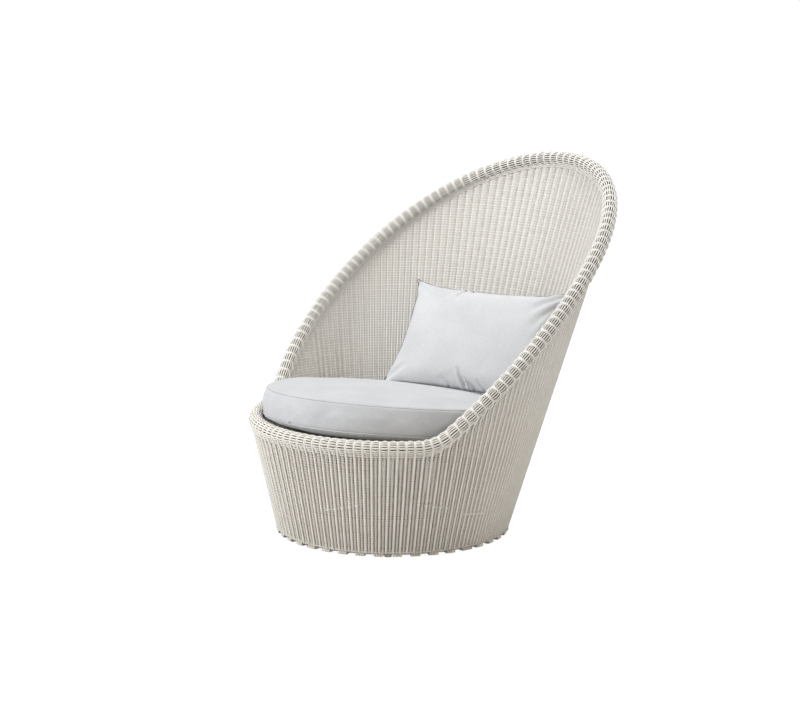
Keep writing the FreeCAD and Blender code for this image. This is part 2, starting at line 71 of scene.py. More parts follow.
# Ribs: how many there would be in a full turn, at these angles from the front.
RIB_COUNT = 138
RIB_DENSITY = (
    (0, 100), (15, 101), (25, 105), (35, 112), (55, 112), (66, 110), (75, 128), (85, 158), (95, 172),
    (105, 184), (112, 192), (120, 184), (130, 172), (140, 165), (150, 157), (160, 155), (170, 148), (180, 140),
)
RIB_SECTION = (0.0041, 0.0027)
RIB_ROLL_SWELL = 0.98
RIB_OFFSET = 0.0019
RIB_STATIONS = 44
RIB_WANDER = 0.0005
RIB_WANDER_RATE = 13.0
INNER_STAKE_RADIUS = 0.0018
INNER_STAKE_OFFSET = 0.0004

# Level courses of cane woven behind the ribs and round the inner stakes between them.
COURSE_PITCH = 0.0087
COURSE_SHARES = (0.0, 0.20, 0.245, 0.315, 0.36, 0.5, 0.64, 0.685, 0.755, 0.80)
COURSE_LOW_OFFSET = -0.0021
COURSE_HIGH_OFFSET = 0.0034
COURSE_CREST_POWER = 7
COURSE_HALF_HEIGHT = 0.00426
COURSE_OUTER_SHARE = 0.62
COURSE_HALF_THICKNESS = 0.0012
COURSE_PINCH_SHARES = ((0.55, 0.64), (0.85, 0.30))
COURSE_PINCH_PLACE = 0.28
COURSE_PINCH_REACHES = (0.035, 0.08)
COURSE_WANDER = 0.00018
COURSE_OFFSET_NOISE = 0.00012
COURSE_HEIGHT_NOISE = 0.015
COURSE_END_DEPTH = 0.012
MOST_TRIANGLES = 180000

# Rim roll: strands along it, held down by the ribs that come up the wall and over it.
ROLL_STRAND_COUNT = 20
ROLL_FIRST_STRAND = 2
ROLL_SAMPLES = 8
ROLL_RIB_RADIUS = 0.0216
ROLL_VALLEY_DEPTH = 0.0024
ROLL_CREST_RISE = 0.0027
ROLL_JOIN_FADE = 0.014
ROLL_JOIN_VALLEY = 0.0040
ROLL_JOIN_CREST = 0.0012
ROLL_JOIN_DEPTH = 0.030
ROLL_JOIN_GROWTH = 0.70
ROLL_CORE_RADIUS = 0.0165
ROLL_STRAND_SECTION = (0.0023, 0.0021)
ROLL_FRONT_SWELL = 0.34
ROLL_WIDE_POWER = 0.8
ROLL_NARROW_POWER = 4
ROLL_RISE_NOISE = 0.00010
ROLL_SWAY_NOISE = 0.00030
ROLL_SWAY_STATIONS = 90
ROLL_END_OFFSET = -0.0030
BORDER_STRAND_RADIUS = 0.0023
BORDER_STRAND_DROPS = (0.0035, 0.0085)
BORDER_STRAND_OFFSET = -0.0052
TWINE_RADIUS = 0.0019
TWINE_TURN_LENGTH = 0.016
TWINE_HEIGHT = 0.0045

# Foot wraps, and small lashings outside as runs of (first angle, its height, last angle, its height).
WRAP_COUNT = 40
WRAP_TURNS = 4
WRAP_TURN_PITCH = 0.0074
WRAP_SECTION = (0.0033, 0.0007)
WRAP_OFFSET = 0.0014
WRAP_LIP_OFFSET = 0.0048
WRAP_FOOT_HEIGHT = 0.0042
LASHING_RUNS = (
    (22.0, 0.155, 36.5, 0.183), (47.5, 0.193, 48.5, 0.193), (61.0, 0.188, 75.6, 0.168), (86.0, 0.137, 92.5, 0.130),
)
LASHING_RUN_MARGIN = 1.8
LASHING_HALF_LENGTH = 0.0062
LASHING_RADIUS = 0.0026
LASHING_OFFSET = 0.0074

# Woven deck.
SEAT_TILT = 8.1
SEAT_CENTRE_HEIGHT = 0.331
DECK_THICKNESS = 0.005
DECK_STRIP_PITCH = 0.018
DECK_STRIP_SECTION = (0.0078, 0.0009)
DECK_EDGE_GAP = 0.005
DECK_REACH = 0.50

# Seat cushion and pillow, as in the CAD.
CUSHION_RADIUS = 0.421
CUSHION_SEAM_SPACING = 0.108
CUSHION_TOP_CROWN = 0.022
CUSHION_BOTTOM_CROWN = 0.014
CUSHION_SIDE_SWELL = 0.010
CUSHION_SETBACK = -0.012
CUSHION_SIDE_LEAN = 2.6
CUSHION_LOWER_BAND = ((0.0010, 0.004), (0.0030, 0.009), (0.0065, 0.0145), (0.0120, 0.0185))
CUSHION_CROWN_POWER = 3
# How far the edge stands above its even place, as (degrees from the front, metres).
CUSHION_EDGE_SHIFTS = ((-180, -0.004), (-130, -0.007), (-105, 0.003), (-80, 0.011), (-58, 0.003), (-30, -0.009),
                       (0, -0.009), (25, -0.008), (50, -0.004), (85, -0.001), (120, 0.0), (180, -0.006))
CUSHION_BAND_SAG = 0.002
CUSHION_DECK_GAP = 0.0012
CUSHION_SEAM_DEPTH = 0.0028
CUSHION_SEAM_REACH = 0.005
CUSHION_UNDERSIDE_DROP = 0.0025
CUSHION_ZIP_ANGLES = (-62.0, 2.0)
CUSHION_ZIP_RISE = 0.0085
CUSHION_ZIP_CORD_RADIUS = 0.0022
CUSHION_ZIP_END_RADIUS = 0.0016
CUSHION_TOP_SEAM_RADIUS = 0.0012
CUSHION_PIPING_RADIUS = 0.0026
CORD_RISE_SHARE = 0.35
ROLL_REST_DISTANCE = 0.0276
SEAT_CLEARANCE = 0.0003
PILLOW_WIDTH = 0.562
PILLOW_HEIGHT = 0.388
PILLOW_THICKNESS = 0.130
PILLOW_EDGE_THICKNESS = 0.008
PILLOW_SIDE_DRAW = 0.016
PILLOW_FOOT_DRAW = 0.003
PILLOW_REST_GAP = 0.0008
PILLOW_SAG = 0.009
PILLOW_SIDE_SAG = 0.010
PILLOW_WALL_GAP = 0.0055
# Creases of the pillow's front as (x, z, end x, end z, half width, depth) from the middle of its lower edge.
PILLOW_CREASES = (
    (-0.080, 0.378, -0.086, 0.312, 0.0070, 0.0075), (-0.058, 0.376, -0.044, 0.335, 0.0060, 0.0040),
    (0.030, 0.010, 0.002, 0.064, 0.0055, 0.0110), (0.066, 0.006, 0.026, 0.036, 0.0050, 0.0090),
    (0.104, 0.006, 0.078, 0.034, 0.0050, 0.0060), (-0.030, 0.006, -0.060, 0.036, 0.0060, 0.0040),
    (-0.272, 0.374, -0.205, 0.322, 0.0080, 0.0045), (-0.272, 0.014, -0.200, 0.062, 0.0080, 0.0045),
    (0.272, 0.374, 0.190, 0.300, 0.0100, 0.0070), (0.262, 0.330, 0.205, 0.235, 0.0130, 0.0070),
    (0.272, 0.016, 0.205, 0.066, 0.0080, 0.0050),
)
PILLOW_EDGE_SAMPLES = 90
PILLOW_LOOP_RADII = (0.0095, 0.0055)
PILLOW_LOOP_OFFSET = 0.0015
PILLOW_LOOP_CORD_RADIUS = 0.0016
PILLOW_CORD_OFFSET = 0.0022
PILLOW_CORD_RADIUS = 0.0025
PILLOW_TURN = 22.6
PILLOW_LEAN = 39.0
PILLOW_FOOT_X = 0.044
PILLOW_FOOT_Y = 0.245
PILLOW_FOOT_LIFT = -0.0019
CLOTH_STIFFNESS = 15.0
CLOTH_STEPS = 20

# Camera, fitted to the photograph's frame, and the disc of floor in the chair's own shade.
IMAGE_WIDTH = 800
IMAGE_HEIGHT = 711
CAMERA_AZIMUTH = 51.82
CAMERA_ELEVATION = 11.25
CAMERA_DISTANCE = 8.766
CAMERA_VIEW_ANGLE = 17.071
AIM_HEIGHT = 0.571
AIM_PIXEL = (392.24, 359.22)
FLOOR_HALF_SIDE = 30.0
FOOT_SHADE_MIDDLE = (-0.031, 0.025)
FOOT_SHADE_RADIUS = 0.34

UP = np.array([0, 0, 1.0])
rng = np.random.default_rng(RANDOM_SEED)
ring_low, ring_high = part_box("floor_ring")
RING_MIDDLE_Y = (ring_low.y + ring_high.y) / 2
FRAME_Y = RING_MIDDLE_Y - WALL_LEAN_SHARE * RING_MIDDLE_HEIGHT


def stack(*parts):
    return np.stack(parts, -1)


def unit(vectors):
    return vectors / np.linalg.norm(vectors, axis=-1, keepdims=True)


def square_to(tangent, vectors):
    """Directions of the vectors without their parts along the tangent."""
    return unit(vectors - tangent * (vectors * tangent).sum(-1, keepdims=True))


def oval(half_width, half_thickness, sides=6):
    """Section with few sides, wide across the strand and thin outwards."""
    turns = 2 * math.pi * np.arange(sides) / sides
    return stack(half_width * np.cos(turns), half_thickness * np.sin(turns))


def lengths_along(points):
    return np.concatenate([[0], np.cumsum(np.linalg.norm(np.diff(points, axis=0), axis=1))])


def columns_at(places, known, values):
    """Every column of a table of values, read between its known places."""
    return stack(*[np.interp(places, known, column) for column in values.T])


# Geometry of the wall and the rim.


def ring_direction(angles):
    turn = np.radians(angles)
    return stack(np.sin(turn), -np.cos(turn), 0 * turn)


def wall_rise(angles):
    return unit(np.array([0, WALL_LEAN_SHARE, 1.0]) + ring_direction(angles) * WALL_FLARE_SHARE)


def wall_normal(angles):
    return unit(np.cross(np.cross(UP, ring_direction(angles)), wall_rise(angles)))


def wall_radius(heights):
    return WALL_BASE_RADIUS + WALL_FLARE_SHARE * heights


def wall_middle_y(heights):
    return FRAME_Y + WALL_LEAN_SHARE * heights


def wall_point(angles, heights, offset=0.0):
    """Points at an offset outwards from the wall's middle surface."""
    angles, heights, offset = np.broadcast_arrays(angles, heights, offset)
    centre = stack(0 * heights, wall_middle_y(heights), heights)
    surface = centre + ring_direction(angles) * wall_radius(heights)[..., None]
    return surface + wall_normal(angles) * offset[..., None]


def rim_side_height(y):
    """Height of the rim's centre line in the side view, at a y that starts from the wall's foot centre.

    The line is level in front, turns up in a fillet and climbs in one long, crowned arc.
    """
    end_y = WALL_LEAN_SHARE * RIM_TOP_HEIGHT + wall_radius(RIM_TOP_HEIGHT)
    run = end_y + RIM_CORNER_SETBACK
    rise = RIM_TOP_HEIGHT - RIM_FRONT_HEIGHT
    length = math.hypot(run, rise)
    radius = ((length / 2) ** 2 + RIM_SLOPE_CROWN ** 2) / (2 * RIM_SLOPE_CROWN)
    depth = radius - RIM_SLOPE_CROWN
    centre_y = end_y - run / 2 + rise / length * depth
    centre_z = RIM_FRONT_HEIGHT + rise / 2 - run / length * depth
    fillet_z = RIM_FRONT_HEIGHT + RIM_FILLET_RADIUS
    fillet_y = centre_y - math.sqrt((radius + RIM_FILLET_RADIUS) ** 2 - (fillet_z - centre_z) ** 2)
    fillet_end = fillet_y + (centre_y - fillet_y) * RIM_FILLET_RADIUS / (radius + RIM_FILLET_RADIUS)
    y = np.minimum(y, end_y)
    slope = centre_z + np.sqrt(np.maximum(radius ** 2 - (y - centre_y) ** 2, 0))
    curve = fillet_z - np.sqrt(np.maximum(RIM_FILLET_RADIUS ** 2 - (y - fillet_y) ** 2, 0))
    return np.where(y <= fillet_y, RIM_FRONT_HEIGHT, np.where(y <= fillet_end, curve, slope))


def rim_height(angles):
    """Height at which the rim's centre line cuts the wall's straight line at each angle, found by halving."""
    low = np.zeros_like(angles, float)
    high = np.full_like(low, 2 * RIM_TOP_HEIGHT)
    for _ in range(40):
        middle = (low + high) / 2
        below = middle < rim_side_height(wall_point(angles, middle)[..., 1] - FRAME_Y)
        low = np.where(below, middle, low)
        high = np.where(below, high, middle)
    return low


def off_front(angles):
    return np.abs((angles + 180.0) % 360.0 - 180.0)


def rim_inset(angles):
    start, end = RIM_INSET_END_ANGLES
    blend = np.clip((off_front(angles) - start) / (end - start), 0, 1)
    return RIM_FRONT_INSET * (1 + np.cos(np.pi * blend)) / 2


def rim_point(angles):
    return wall_point(angles, rim_height(angles)) - ring_direction(angles) * rim_inset(angles)[..., None]


class Rim:
    """The rim's centre line by length, with a frame that starts on the wall's outer side."""

    def __init__(self):
        self.angles = np.arange(0, 360.25, 0.25)
        points = rim_point(self.angles[:-1])
        self.points = np.vstack([points, points[:1]])
        self.places = lengths_along(self.points)
        self.length = self.places[-1]

    def point(self, places):
        return columns_at(places % self.length, self.places, self.points)

    def at(self, places):
        """Points, outward directions and side directions at these lengths along the rim."""
        step = self.length / 3000
        tangent = unit(self.point(places + step) - self.point(places - step))
        outward = square_to(tangent, wall_normal(np.interp(places, self.places, self.angles)))
        return self.point(places), outward, np.cross(tangent, outward)


# Meshes.


class Strands:
    """One piece made of many tubes, each with a row of its own in the map OFBake."""

    def __init__(self):
        self.corners, self.loops, self.sizes, self.maps = [], [], [], []
        self.total = 0
        self.triangles = 0
        self.rows = 0

    def add(self, points, across, outward, section, closed=False, swell=1.0):
        count, sides = len(points), len(section)
        if np.dot(np.cross(across[0], outward[0]), points[1] - points[0]) < 0:
            section = section[::-1]
        swell = np.broadcast_to(swell, (count,))[:, None, None]
        ring = points[:, None] + across[:, None] * section[None, :, :1] * swell
        ring = ring + outward[:, None] * section[None, :, 1:]
        spans = count if closed else count - 1
        i = np.repeat(np.arange(spans), sides)
        j = np.tile(np.arange(sides), spans)
        i_next, j_next = (i + 1) % count, (j + 1) % sides
        quads = stack(i * sides + j, i * sides + j_next, i_next * sides + j_next, i_next * sides + j)
        u = stack(i, i, i + 1, i + 1) / spans
        v = self.rows + 0.1 + 0.8 * stack(j, j + 1, j + 1, j) / sides
        self.corners.append(ring.reshape(-1, 3))
        self.loops.append(quads.ravel() + self.total)
        self.sizes.append(np.full(len(quads), 4))
        self.maps.append(stack(u, v).reshape(-1, 2))
        if not closed:
            first = np.arange(sides)
            for ends, place in ((first[::-1], 0.0), (first + (count - 1) * sides, 1.0)):
                self.loops.append(ends + self.total)
                self.sizes.append([sides])
                self.maps.append(np.tile((place, self.rows + 0.95), (sides, 1)))
        self.total += count * sides
        self.triangles += 2 * spans * sides
        self.rows += 1

    def build(self, name, material, smooth=True):
        corners, loops, sizes, maps = map(np.concatenate, (self.corners, self.loops, self.sizes, self.maps))
        maps[:, 1] /= self.rows
        return mesh_object(name, corners, loops, sizes, material, maps, smooth)


def mesh_object(name, corners, loops, sizes, material, maps=None, smooth=True):
    mesh = bpy.data.meshes.new(name)
    mesh.vertices.add(len(corners))
    mesh.vertices.foreach_set("co", np.asarray(corners, np.float32).ravel())
    mesh.loops.add(len(loops))
    mesh.loops.foreach_set("vertex_index", np.asarray(loops, np.int32))
    mesh.polygons.add(len(sizes))
    starts = np.concatenate([[0], np.cumsum(sizes)[:-1]])
    mesh.polygons.foreach_set("loop_start", starts.astype(np.int32))
    mesh.polygons.foreach_set("use_smooth", np.full(len(sizes), smooth))
    if maps is not None:
        mesh.uv_layers.new(name="OFBake").data.foreach_set("uv", maps.astype(np.float32).ravel())
    mesh.update(calc_edges=True)
    mesh.validate()
    mesh.materials.append(material)
    return linked(name, mesh)


def linked(name, data):
    made = bpy.data.objects.new(name, data)
    bpy.context.scene.collection.objects.link(made)
    return made


def settle(piece, body, slot, *nodes):
    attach(piece, body)
    if nodes:
        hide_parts(*nodes)


# Materials.


def node(tree, kind, inputs, **settings):
    """New node with its settings, and with values or links at its inputs."""
    made = tree.nodes.new(kind)
    for name, value in settings.items():
        setattr(made, name, value)
    for key, value in inputs.items():
        if isinstance(value, bpy.types.NodeSocket):
            tree.links.new(value, made.inputs[key])
        else:
            made.inputs[key].default_value = value
    return made


def math_node(tree, operation, *values):
    return node(tree, "ShaderNodeMath", dict(enumerate(values)), operation=operation).outputs[0]


def object_place(tree):
    return node(tree, "ShaderNodeTexCoord", {}).outputs["Object"]


def noise(tree, scale, detail, stretch=(1, 1, 1)):
    mapping = node(tree, "ShaderNodeMapping", {"Vector": object_place(tree), "Scale": stretch})
    inputs = {"Vector": mapping.outputs[0], "Scale": scale, "Detail": detail}
    return node(tree, "ShaderNodeTexNoise", inputs).outputs["Fac"]


def colour_ramp(tree, source, *stops):
    ramp = node(tree, "ShaderNodeValToRGB", {"Fac": source})
    elements = ramp.color_ramp.elements
    while len(elements) < len(stops):
        elements.new(0.5)
    for element, (place, colour) in zip(elements, stops):
        element.position = place
        element.color = (*colour, 1.0)
    return ramp.outputs["Color"]


def surface(name):
    material = bpy.data.materials.new(name)
    material.use_nodes = True
    return material, material.node_tree


def dress(tree, colour, height, strength, distance, **values):
    """Gives the material's shader its colour, its bump and its plain values, named with _ for a space."""
    shader = tree.nodes["Principled BSDF"]
    for name, value in values.items():
        shader.inputs[name.replace("_", " ")].default_value = value
    bump = node(tree, "ShaderNodeBump", {"Height": height, "Strength": strength, "Distance": distance})
    tree.links.new(colour, shader.inputs["Base Color"])
    tree.links.new(bump.outputs["Normal"], shader.inputs["Normal"])


def cane_material(name, dark, middle, light, roughness=0.5, stretch=(1, 1, 5)):
    """Extruded cane: colour drift from strand to strand, fine streaks, a satin skin and painted shade, a warmer,
    darker tone low down.
    """
    material, tree = surface(name)
    colour = colour_ramp(tree, noise(tree, 38.0, 3.0, stretch), (0.30, dark), (0.52, middle), (0.72, light))
    streak = noise(tree, 260.0, 2.0, (1, 1, 3.2))
    grey = colour_ramp(tree, streak, (0.25, (0.86, 0.86, 0.86)), (0.65, (1, 1, 1)))
    # Painted shade: below about 0.6 m the cane is tinted a little warmer and darker.
    height = node(tree, "ShaderNodeSeparateXYZ", {"Vector": object_place(tree)}).outputs["Z"]
    low_painted_shade = colour_ramp(tree, height, (0.30, (0.995, 0.98, 0.95)), (0.62, (1, 1, 1)))
    for layer in (grey, low_painted_shade):
        inputs = {"Factor": 1.0, "A": colour, "B": layer}
        colour = node(tree, "ShaderNodeMix", inputs, data_type="RGBA", blend_type="MULTIPLY").outputs["Result"]
    dress(tree, colour, streak, 0.25, 0.0004, Roughness=roughness, Specular_IOR_Level=0.4)
    return material


def fabric_material(name, dark, light, yarn_pitch=0.0016):
    """Plain woven outdoor cloth with heathered yarns and a soft sheen."""
    material, tree = surface(name)
    fleck = noise(tree, 420.0, 3.0)
    tone = math_node(tree, "MULTIPLY_ADD", noise(tree, 9.0, 2.0), 0.35, fleck)
    yarns = {"Vector": object_place(tree), "Scale": math.pi / 10 / yarn_pitch, "Distortion": 0.6, "Detail": 1.0}
    waves = [node(tree, "ShaderNodeTexWave", yarns, bands_direction=way).outputs["Fac"] for way in "XZ"]
    height = math_node(tree, "ADD", math_node(tree, "MULTIPLY", *waves), fleck)
    dress(tree, colour_ramp(tree, tone, (0.50, dark), (0.85, light)), height, 0.35, 0.0005, Roughness=0.92,
          Specular_IOR_Level=0.25, Sheen_Weight=0.18, Sheen_Roughness=0.45)
    return material


def plain_material(name, colour, roughness):
    """Moulded or coated surface with a fine orange-peel bump and slightly uneven colour."""
    material, tree = surface(name)
    dark = tuple(c * 0.88 for c in colour)
    tone = colour_ramp(tree, noise(tree, 22.0, 3.0), (0.35, dark), (0.65, colour))
    dress(tree, tone, noise(tree, 700.0, 2.0), 0.15, 0.0003, Roughness=roughness)
    return material


wall_cane = cane_material("cane_wall", (0.66, 0.635, 0.59), (0.71, 0.685, 0.645), (0.755, 0.735, 0.70))
stake_cane = cane_material("cane_stake", (0.62, 0.57, 0.49), (0.72, 0.67, 0.60), (0.80, 0.76, 0.70))
# Painted shade: the roll's core is near black so the gaps between the roll strands read as deep shadow.
core_shade_cane = cane_material("cane_core_painted_shade", (0.12, 0.11, 0.09), (0.17, 0.155, 0.13), (0.22, 0.20, 0.17), 0.7)
roll_cane = cane_material("cane_roll", (0.77, 0.74, 0.69), (0.84, 0.815, 0.77), (0.89, 0.87, 0.83))
rib_cane = cane_material("cane_rib", (0.77, 0.745, 0.70), (0.83, 0.81, 0.77), (0.875, 0.86, 0.825), 0.5, (2, 2, 1))
flat_cane = cane_material("cane_flat", (0.68, 0.64, 0.57), (0.76, 0.72, 0.65), (0.82, 0.785, 0.72))
# Painted shade: the deck cane is dark so the space under the cushion and inside the tub reads as shadow.
deck_shade_cane = cane_material("cane_deck_painted_shade", (0.30, 0.275, 0.235), (0.36, 0.335, 0.29), (0.42, 0.39, 0.34))
tie_cane = cane_material("cane_tie", (0.93, 0.92, 0.89), (0.95, 0.94, 0.92), (0.97, 0.965, 0.95))
# Painted shade: the frame's coat is near black so the frame seen through the weave reads as the tub's inner
# shadow.
frame_shade_coat = plain_material("frame_shade_coat", (0.17, 0.16, 0.145), 0.45)
ring_coat = plain_material("ring_coat", (0.50, 0.475, 0.42), 0.5)
glide_nylon = plain_material("glide_nylon", (0.70, 0.665, 0.59), 0.55)
cushion_cloth = fabric_material("cushion_cloth", (0.48, 0.49, 0.505), (0.605, 0.61, 0.62))
pillow_cloth = fabric_material("pillow_cloth", (0.535, 0.54, 0.555), (0.67, 0.68, 0.69), 0.0012)
seam_cloth = fabric_material("seam_cloth", (0.34, 0.35, 0.37), (0.44, 0.45, 0.47), 0.0010)
edge_cloth = fabric_material("edge_cloth", (0.15, 0.16, 0.18), (0.25, 0.26, 0.285), 0.0010)
# Painted shade: darker cloth for the cushion's underside, below its bottom piping.
underside_shade_cloth = fabric_material("underside_shade_cloth", (0.27, 0.275, 0.285), (0.36, 0.365, 0.375))


# Ribs and wall.


def rib_table():
    """Angles round the wall and how many ribs stand before each."""
    angles = np.arange(0, 360.25, 0.25)
    density = np.interp(off_front(angles), *zip(*RIB_DENSITY))
    total = np.concatenate([[0], np.cumsum((density[1:] + density[:-1]) / 2)])
    return angles, total / total[-1] * RIB_COUNT


TABLE_ANGLES, TABLE_COUNTS = rib_table()


def angle_of(counts):
    return np.interp(counts, TABLE_COUNTS, TABLE_ANGLES)


def course_offsets(counts):
    """How far a course stands out: behind each rib and out over the inner stake between two."""
    crest = np.abs(np.sin(np.pi * counts)) ** COURSE_CREST_POWER
    return COURSE_LOW_OFFSET + (COURSE_HIGH_OFFSET - COURSE_LOW_OFFSET) * crest


def course_pinch(counts, height):
    """Share of its height that a course keeps: it is pinched where it turns, which leaves small holes."""
    share = counts % 1.0
    away = np.minimum(np.abs(share - COURSE_PINCH_PLACE), np.abs(share - 1 + COURSE_PINCH_PLACE))
    most = np.interp(height, *zip(*COURSE_PINCH_SHARES))
    return 1 - most * np.interp(away, COURSE_PINCH_REACHES, (1, 0))


def add_course(strands, height):
    counts = (np.arange(RIB_COUNT)[:, None] + COURSE_SHARES).ravel()
    angles = angle_of(counts)
    keep = rim_height(angles) - COURSE_END_DEPTH > height
    counts, angles = counts[keep], angles[keep]
    if len(angles) < 3 * len(COURSE_SHARES):
        return
    spread = rng.normal(0, COURSE_OFFSET_NOISE, len(angles))
    phase = rng.uniform(0, 2 * math.pi, 3)
    drift = sum(np.sin(np.radians(angles) * (n + 2) + phase[n]) for n in range(3))
    heights = height + COURSE_WANDER * (drift + rng.standard_normal(len(angles)) * 0.5)
    points = wall_point(angles, heights, course_offsets(counts) + spread)
    swell = course_pinch(counts, height) * (1 + rng.normal(0, COURSE_HEIGHT_NOISE, len(angles)))
    shape = np.array([(COURSE_OUTER_SHARE, 1), (-COURSE_OUTER_SHARE, 1), (-1, -1), (1, -1)])
    section = shape * (COURSE_HALF_HEIGHT, COURSE_HALF_THICKNESS)
    strands.add(points, wall_rise(angles), wall_normal(angles), section, keep.all(), swell)


def make_courses():
    groups = [Strands()]
    for height in np.arange(WALL_BOTTOM_HEIGHT + COURSE_HALF_HEIGHT, RIM_TOP_HEIGHT, COURSE_PITCH):
        add_course(groups[-1], height)
        if groups[-1].triangles > MOST_TRIANGLES:
            groups.append(Strands())
    for number, strands in enumerate(groups):
        piece = strands.build(f"wall_courses_{number + 1}", wall_cane, smooth=False)
        settle(piece, "chair_frame", "cane", *(["wall_weave"] if number == 0 else []))


def make_inner_stakes():
    """Canes inside the wall, midway between the ribs."""
    strands = Strands()
    for angle in angle_of(np.arange(RIB_COUNT) + 0.5):
        heights = np.linspace(WALL_BOTTOM_HEIGHT, rim_height(angle) - COURSE_END_DEPTH / 2, RIB_STATIONS)
        angles = np.full(RIB_STATIONS, angle)
        points = wall_point(angles, heights, INNER_STAKE_OFFSET)
        across = unit(np.cross(wall_rise(angles), wall_normal(angles)))
        strands.add(points, across, wall_normal(angles), oval(INNER_STAKE_RADIUS, INNER_STAKE_RADIUS))
    return strands.build("inner_stakes", stake_cane)


def roll_profile(inset):
    """Outline across the roll from the wall's outer side to its inner side, as points (out, up) and normals."""
    depth = ROLL_JOIN_DEPTH + ROLL_JOIN_GROWTH * inset
    start = np.array([inset + RIB_OFFSET, -depth])
    first = math.atan2(start[1], start[0]) + math.acos(ROLL_RIB_RADIUS / np.hypot(*start))
    last = 2 * math.pi - math.acos((inset + ROLL_END_OFFSET) / ROLL_RIB_RADIUS)
    turns = np.linspace(first, last, 80)
    around = stack(np.cos(turns), np.sin(turns))
    shares = np.linspace(0, 1, 12)[:-1, None]
    points = np.concatenate([start + (around[0] * ROLL_RIB_RADIUS - start) * shares, around * ROLL_RIB_RADIUS])
    normals = np.concatenate([np.repeat(around[:1], 11, 0), around])
    length = lengths_along(points)
    return columns_at(np.linspace(0, length[-1], 61), length, np.hstack([points, normals])), depth


PROFILE_INSETS = np.linspace(0, RIM_FRONT_INSET, 6)
PROFILE_TABLE = np.array([roll_profile(inset)[0] for inset in PROFILE_INSETS])


class Roll:
    """The roll's local frame at the rim places that belong to these rib counts."""

    def __init__(self, rim, counts):
        self.angles = angle_of(counts)
        self.points, self.outward, side = rim.at(np.interp(self.angles, rim.angles, rim.places))
        self.up = -side
        self.along = np.cross(self.up, self.outward)
        toward = (ring_direction(self.angles) * self.outward).sum(-1)
        self.inset = np.maximum(rim_inset(self.angles) * toward, 0)

    def across(self, share, number=slice(None)):
        """Point on the outline at this share of it, with its normal, as (out, up) pairs."""
        steps = PROFILE_TABLE.shape[1] - 1
        place = np.clip(share * steps, 0, steps - 0.001)
        low = int(place)
        column = PROFILE_TABLE[:, low] + (PROFILE_TABLE[:, low + 1] - PROFILE_TABLE[:, low]) * (place - low)
        values = columns_at(self.inset[number], PROFILE_INSETS, column)
        return values[..., :2], unit(values[..., 2:])

    def direction(self, flat, number=slice(None)):
        return self.outward[number] * flat[..., :1] + self.up[number] * flat[..., 1:]

    def point(self, flat, number=slice(None)):
        return self.points[number] + self.direction(flat, number)


def make_ribs(rim):
    """Each rib stands outside the wall, bends out over the roll and ends against the inside of the wall."""
    roll = Roll(rim, np.arange(RIB_COUNT))
    strands = Strands()
    shares = np.linspace(0, 1, 30)
    for number, angle in enumerate(roll.angles):
        depth = roll_profile(roll.inset[number])[1]
        origin, up, along = roll.points[number], roll.up[number], roll.along[number]
        rise = wall_rise(angle)
        top = rim_height(angle)
        rim_place = wall_point(angle, top, RIB_OFFSET) - origin
        join = top + (-depth - rim_place @ up) / (rise @ up) * rise[2]
        slide = (wall_point(angle, join, RIB_OFFSET) - origin) @ along
        heights = np.linspace(WALL_BOTTOM_HEIGHT + 0.0005, join, RIB_STATIONS)[:-1]
        phase = rng.uniform(0, 2 * math.pi, 2)
        wander = RIB_WANDER * np.sin(heights * RIB_WANDER_RATE + phase[0]) * np.minimum(1, (join - heights) / 0.05)
        angles = angle + np.degrees(wander / wall_radius(heights))
        flats, normals = map(np.array, zip(*[roll.across(share, number) for share in shares]))
        outer = np.arange(len(shares)) < np.argmax(flats[:, 1] > 0)
        shift = np.where(outer, slide * np.clip(-flats[:, 1] / depth, 0, 1), 0)
        over = roll.point(flats, number) + along * shift[:, None]
        points = np.concatenate([wall_point(angles, heights, RIB_OFFSET), over])
        outward = np.concatenate([wall_normal(angles), roll.direction(normals, number)])
        tangent = unit(np.gradient(points, axis=0))
        across = unit(np.cross(tangent, outward))
        on_roll = np.clip((np.arange(len(points)) - len(heights) + 4) / 12, 0, 1)
        swell = 1 + (RIB_ROLL_SWELL - 1) * on_roll
        strands.add(points, across, np.cross(across, tangent), oval(*RIB_SECTION), False, swell)
    return strands.build("ribs", rib_cane)


def make_roll_strands(rim, numbers, name):
    """Strands along the roll that dip under each rib and bulge between two."""
    counts = np.arange(0, RIB_COUNT, 1 / ROLL_SAMPLES)
    roll = Roll(rim, counts)
    strands = Strands()
    between = np.abs(np.sin(np.pi * counts))
    wide, narrow = between ** ROLL_WIDE_POWER, between ** ROLL_NARROW_POWER
    sway_counts = np.linspace(0, RIB_COUNT, ROLL_SWAY_STATIONS)
    for number in numbers:
        share = (number + 0.7) / (ROLL_STRAND_COUNT + 0.4)
        flat, normal = roll.across(share)
        on_roll = 1.0 if share > 0.3 else np.clip(1 + flat[:, 1] / ROLL_JOIN_FADE, 0, 1)
        bulge = narrow + (wide - narrow) * on_roll
        crest = ROLL_JOIN_CREST + (ROLL_CREST_RISE - ROLL_JOIN_CREST) * on_roll
        valley = ROLL_JOIN_VALLEY + (ROLL_VALLEY_DEPTH - ROLL_JOIN_VALLEY) * on_roll
        rise = -valley + (valley + crest) * bulge + rng.normal(0, ROLL_RISE_NOISE, len(counts))
        sway = np.interp(counts, sway_counts, rng.normal(0, ROLL_SWAY_NOISE, ROLL_SWAY_STATIONS))
        sideways = stack(-normal[:, 1], normal[:, 0])
        points = roll.point(flat + normal * rise[:, None] + sideways * sway[:, None])
        outward = roll.direction(normal)
        front = ROLL_FRONT_SWELL * roll.inset / RIM_FRONT_INSET
        swell = 1 - 0.08 * bulge + rng.normal(0, 0.02, len(counts)) + front
        strands.add(points, np.cross(outward, roll.along), outward, oval(*ROLL_STRAND_SECTION), True, swell)
    return strands.build(name, roll_cane)


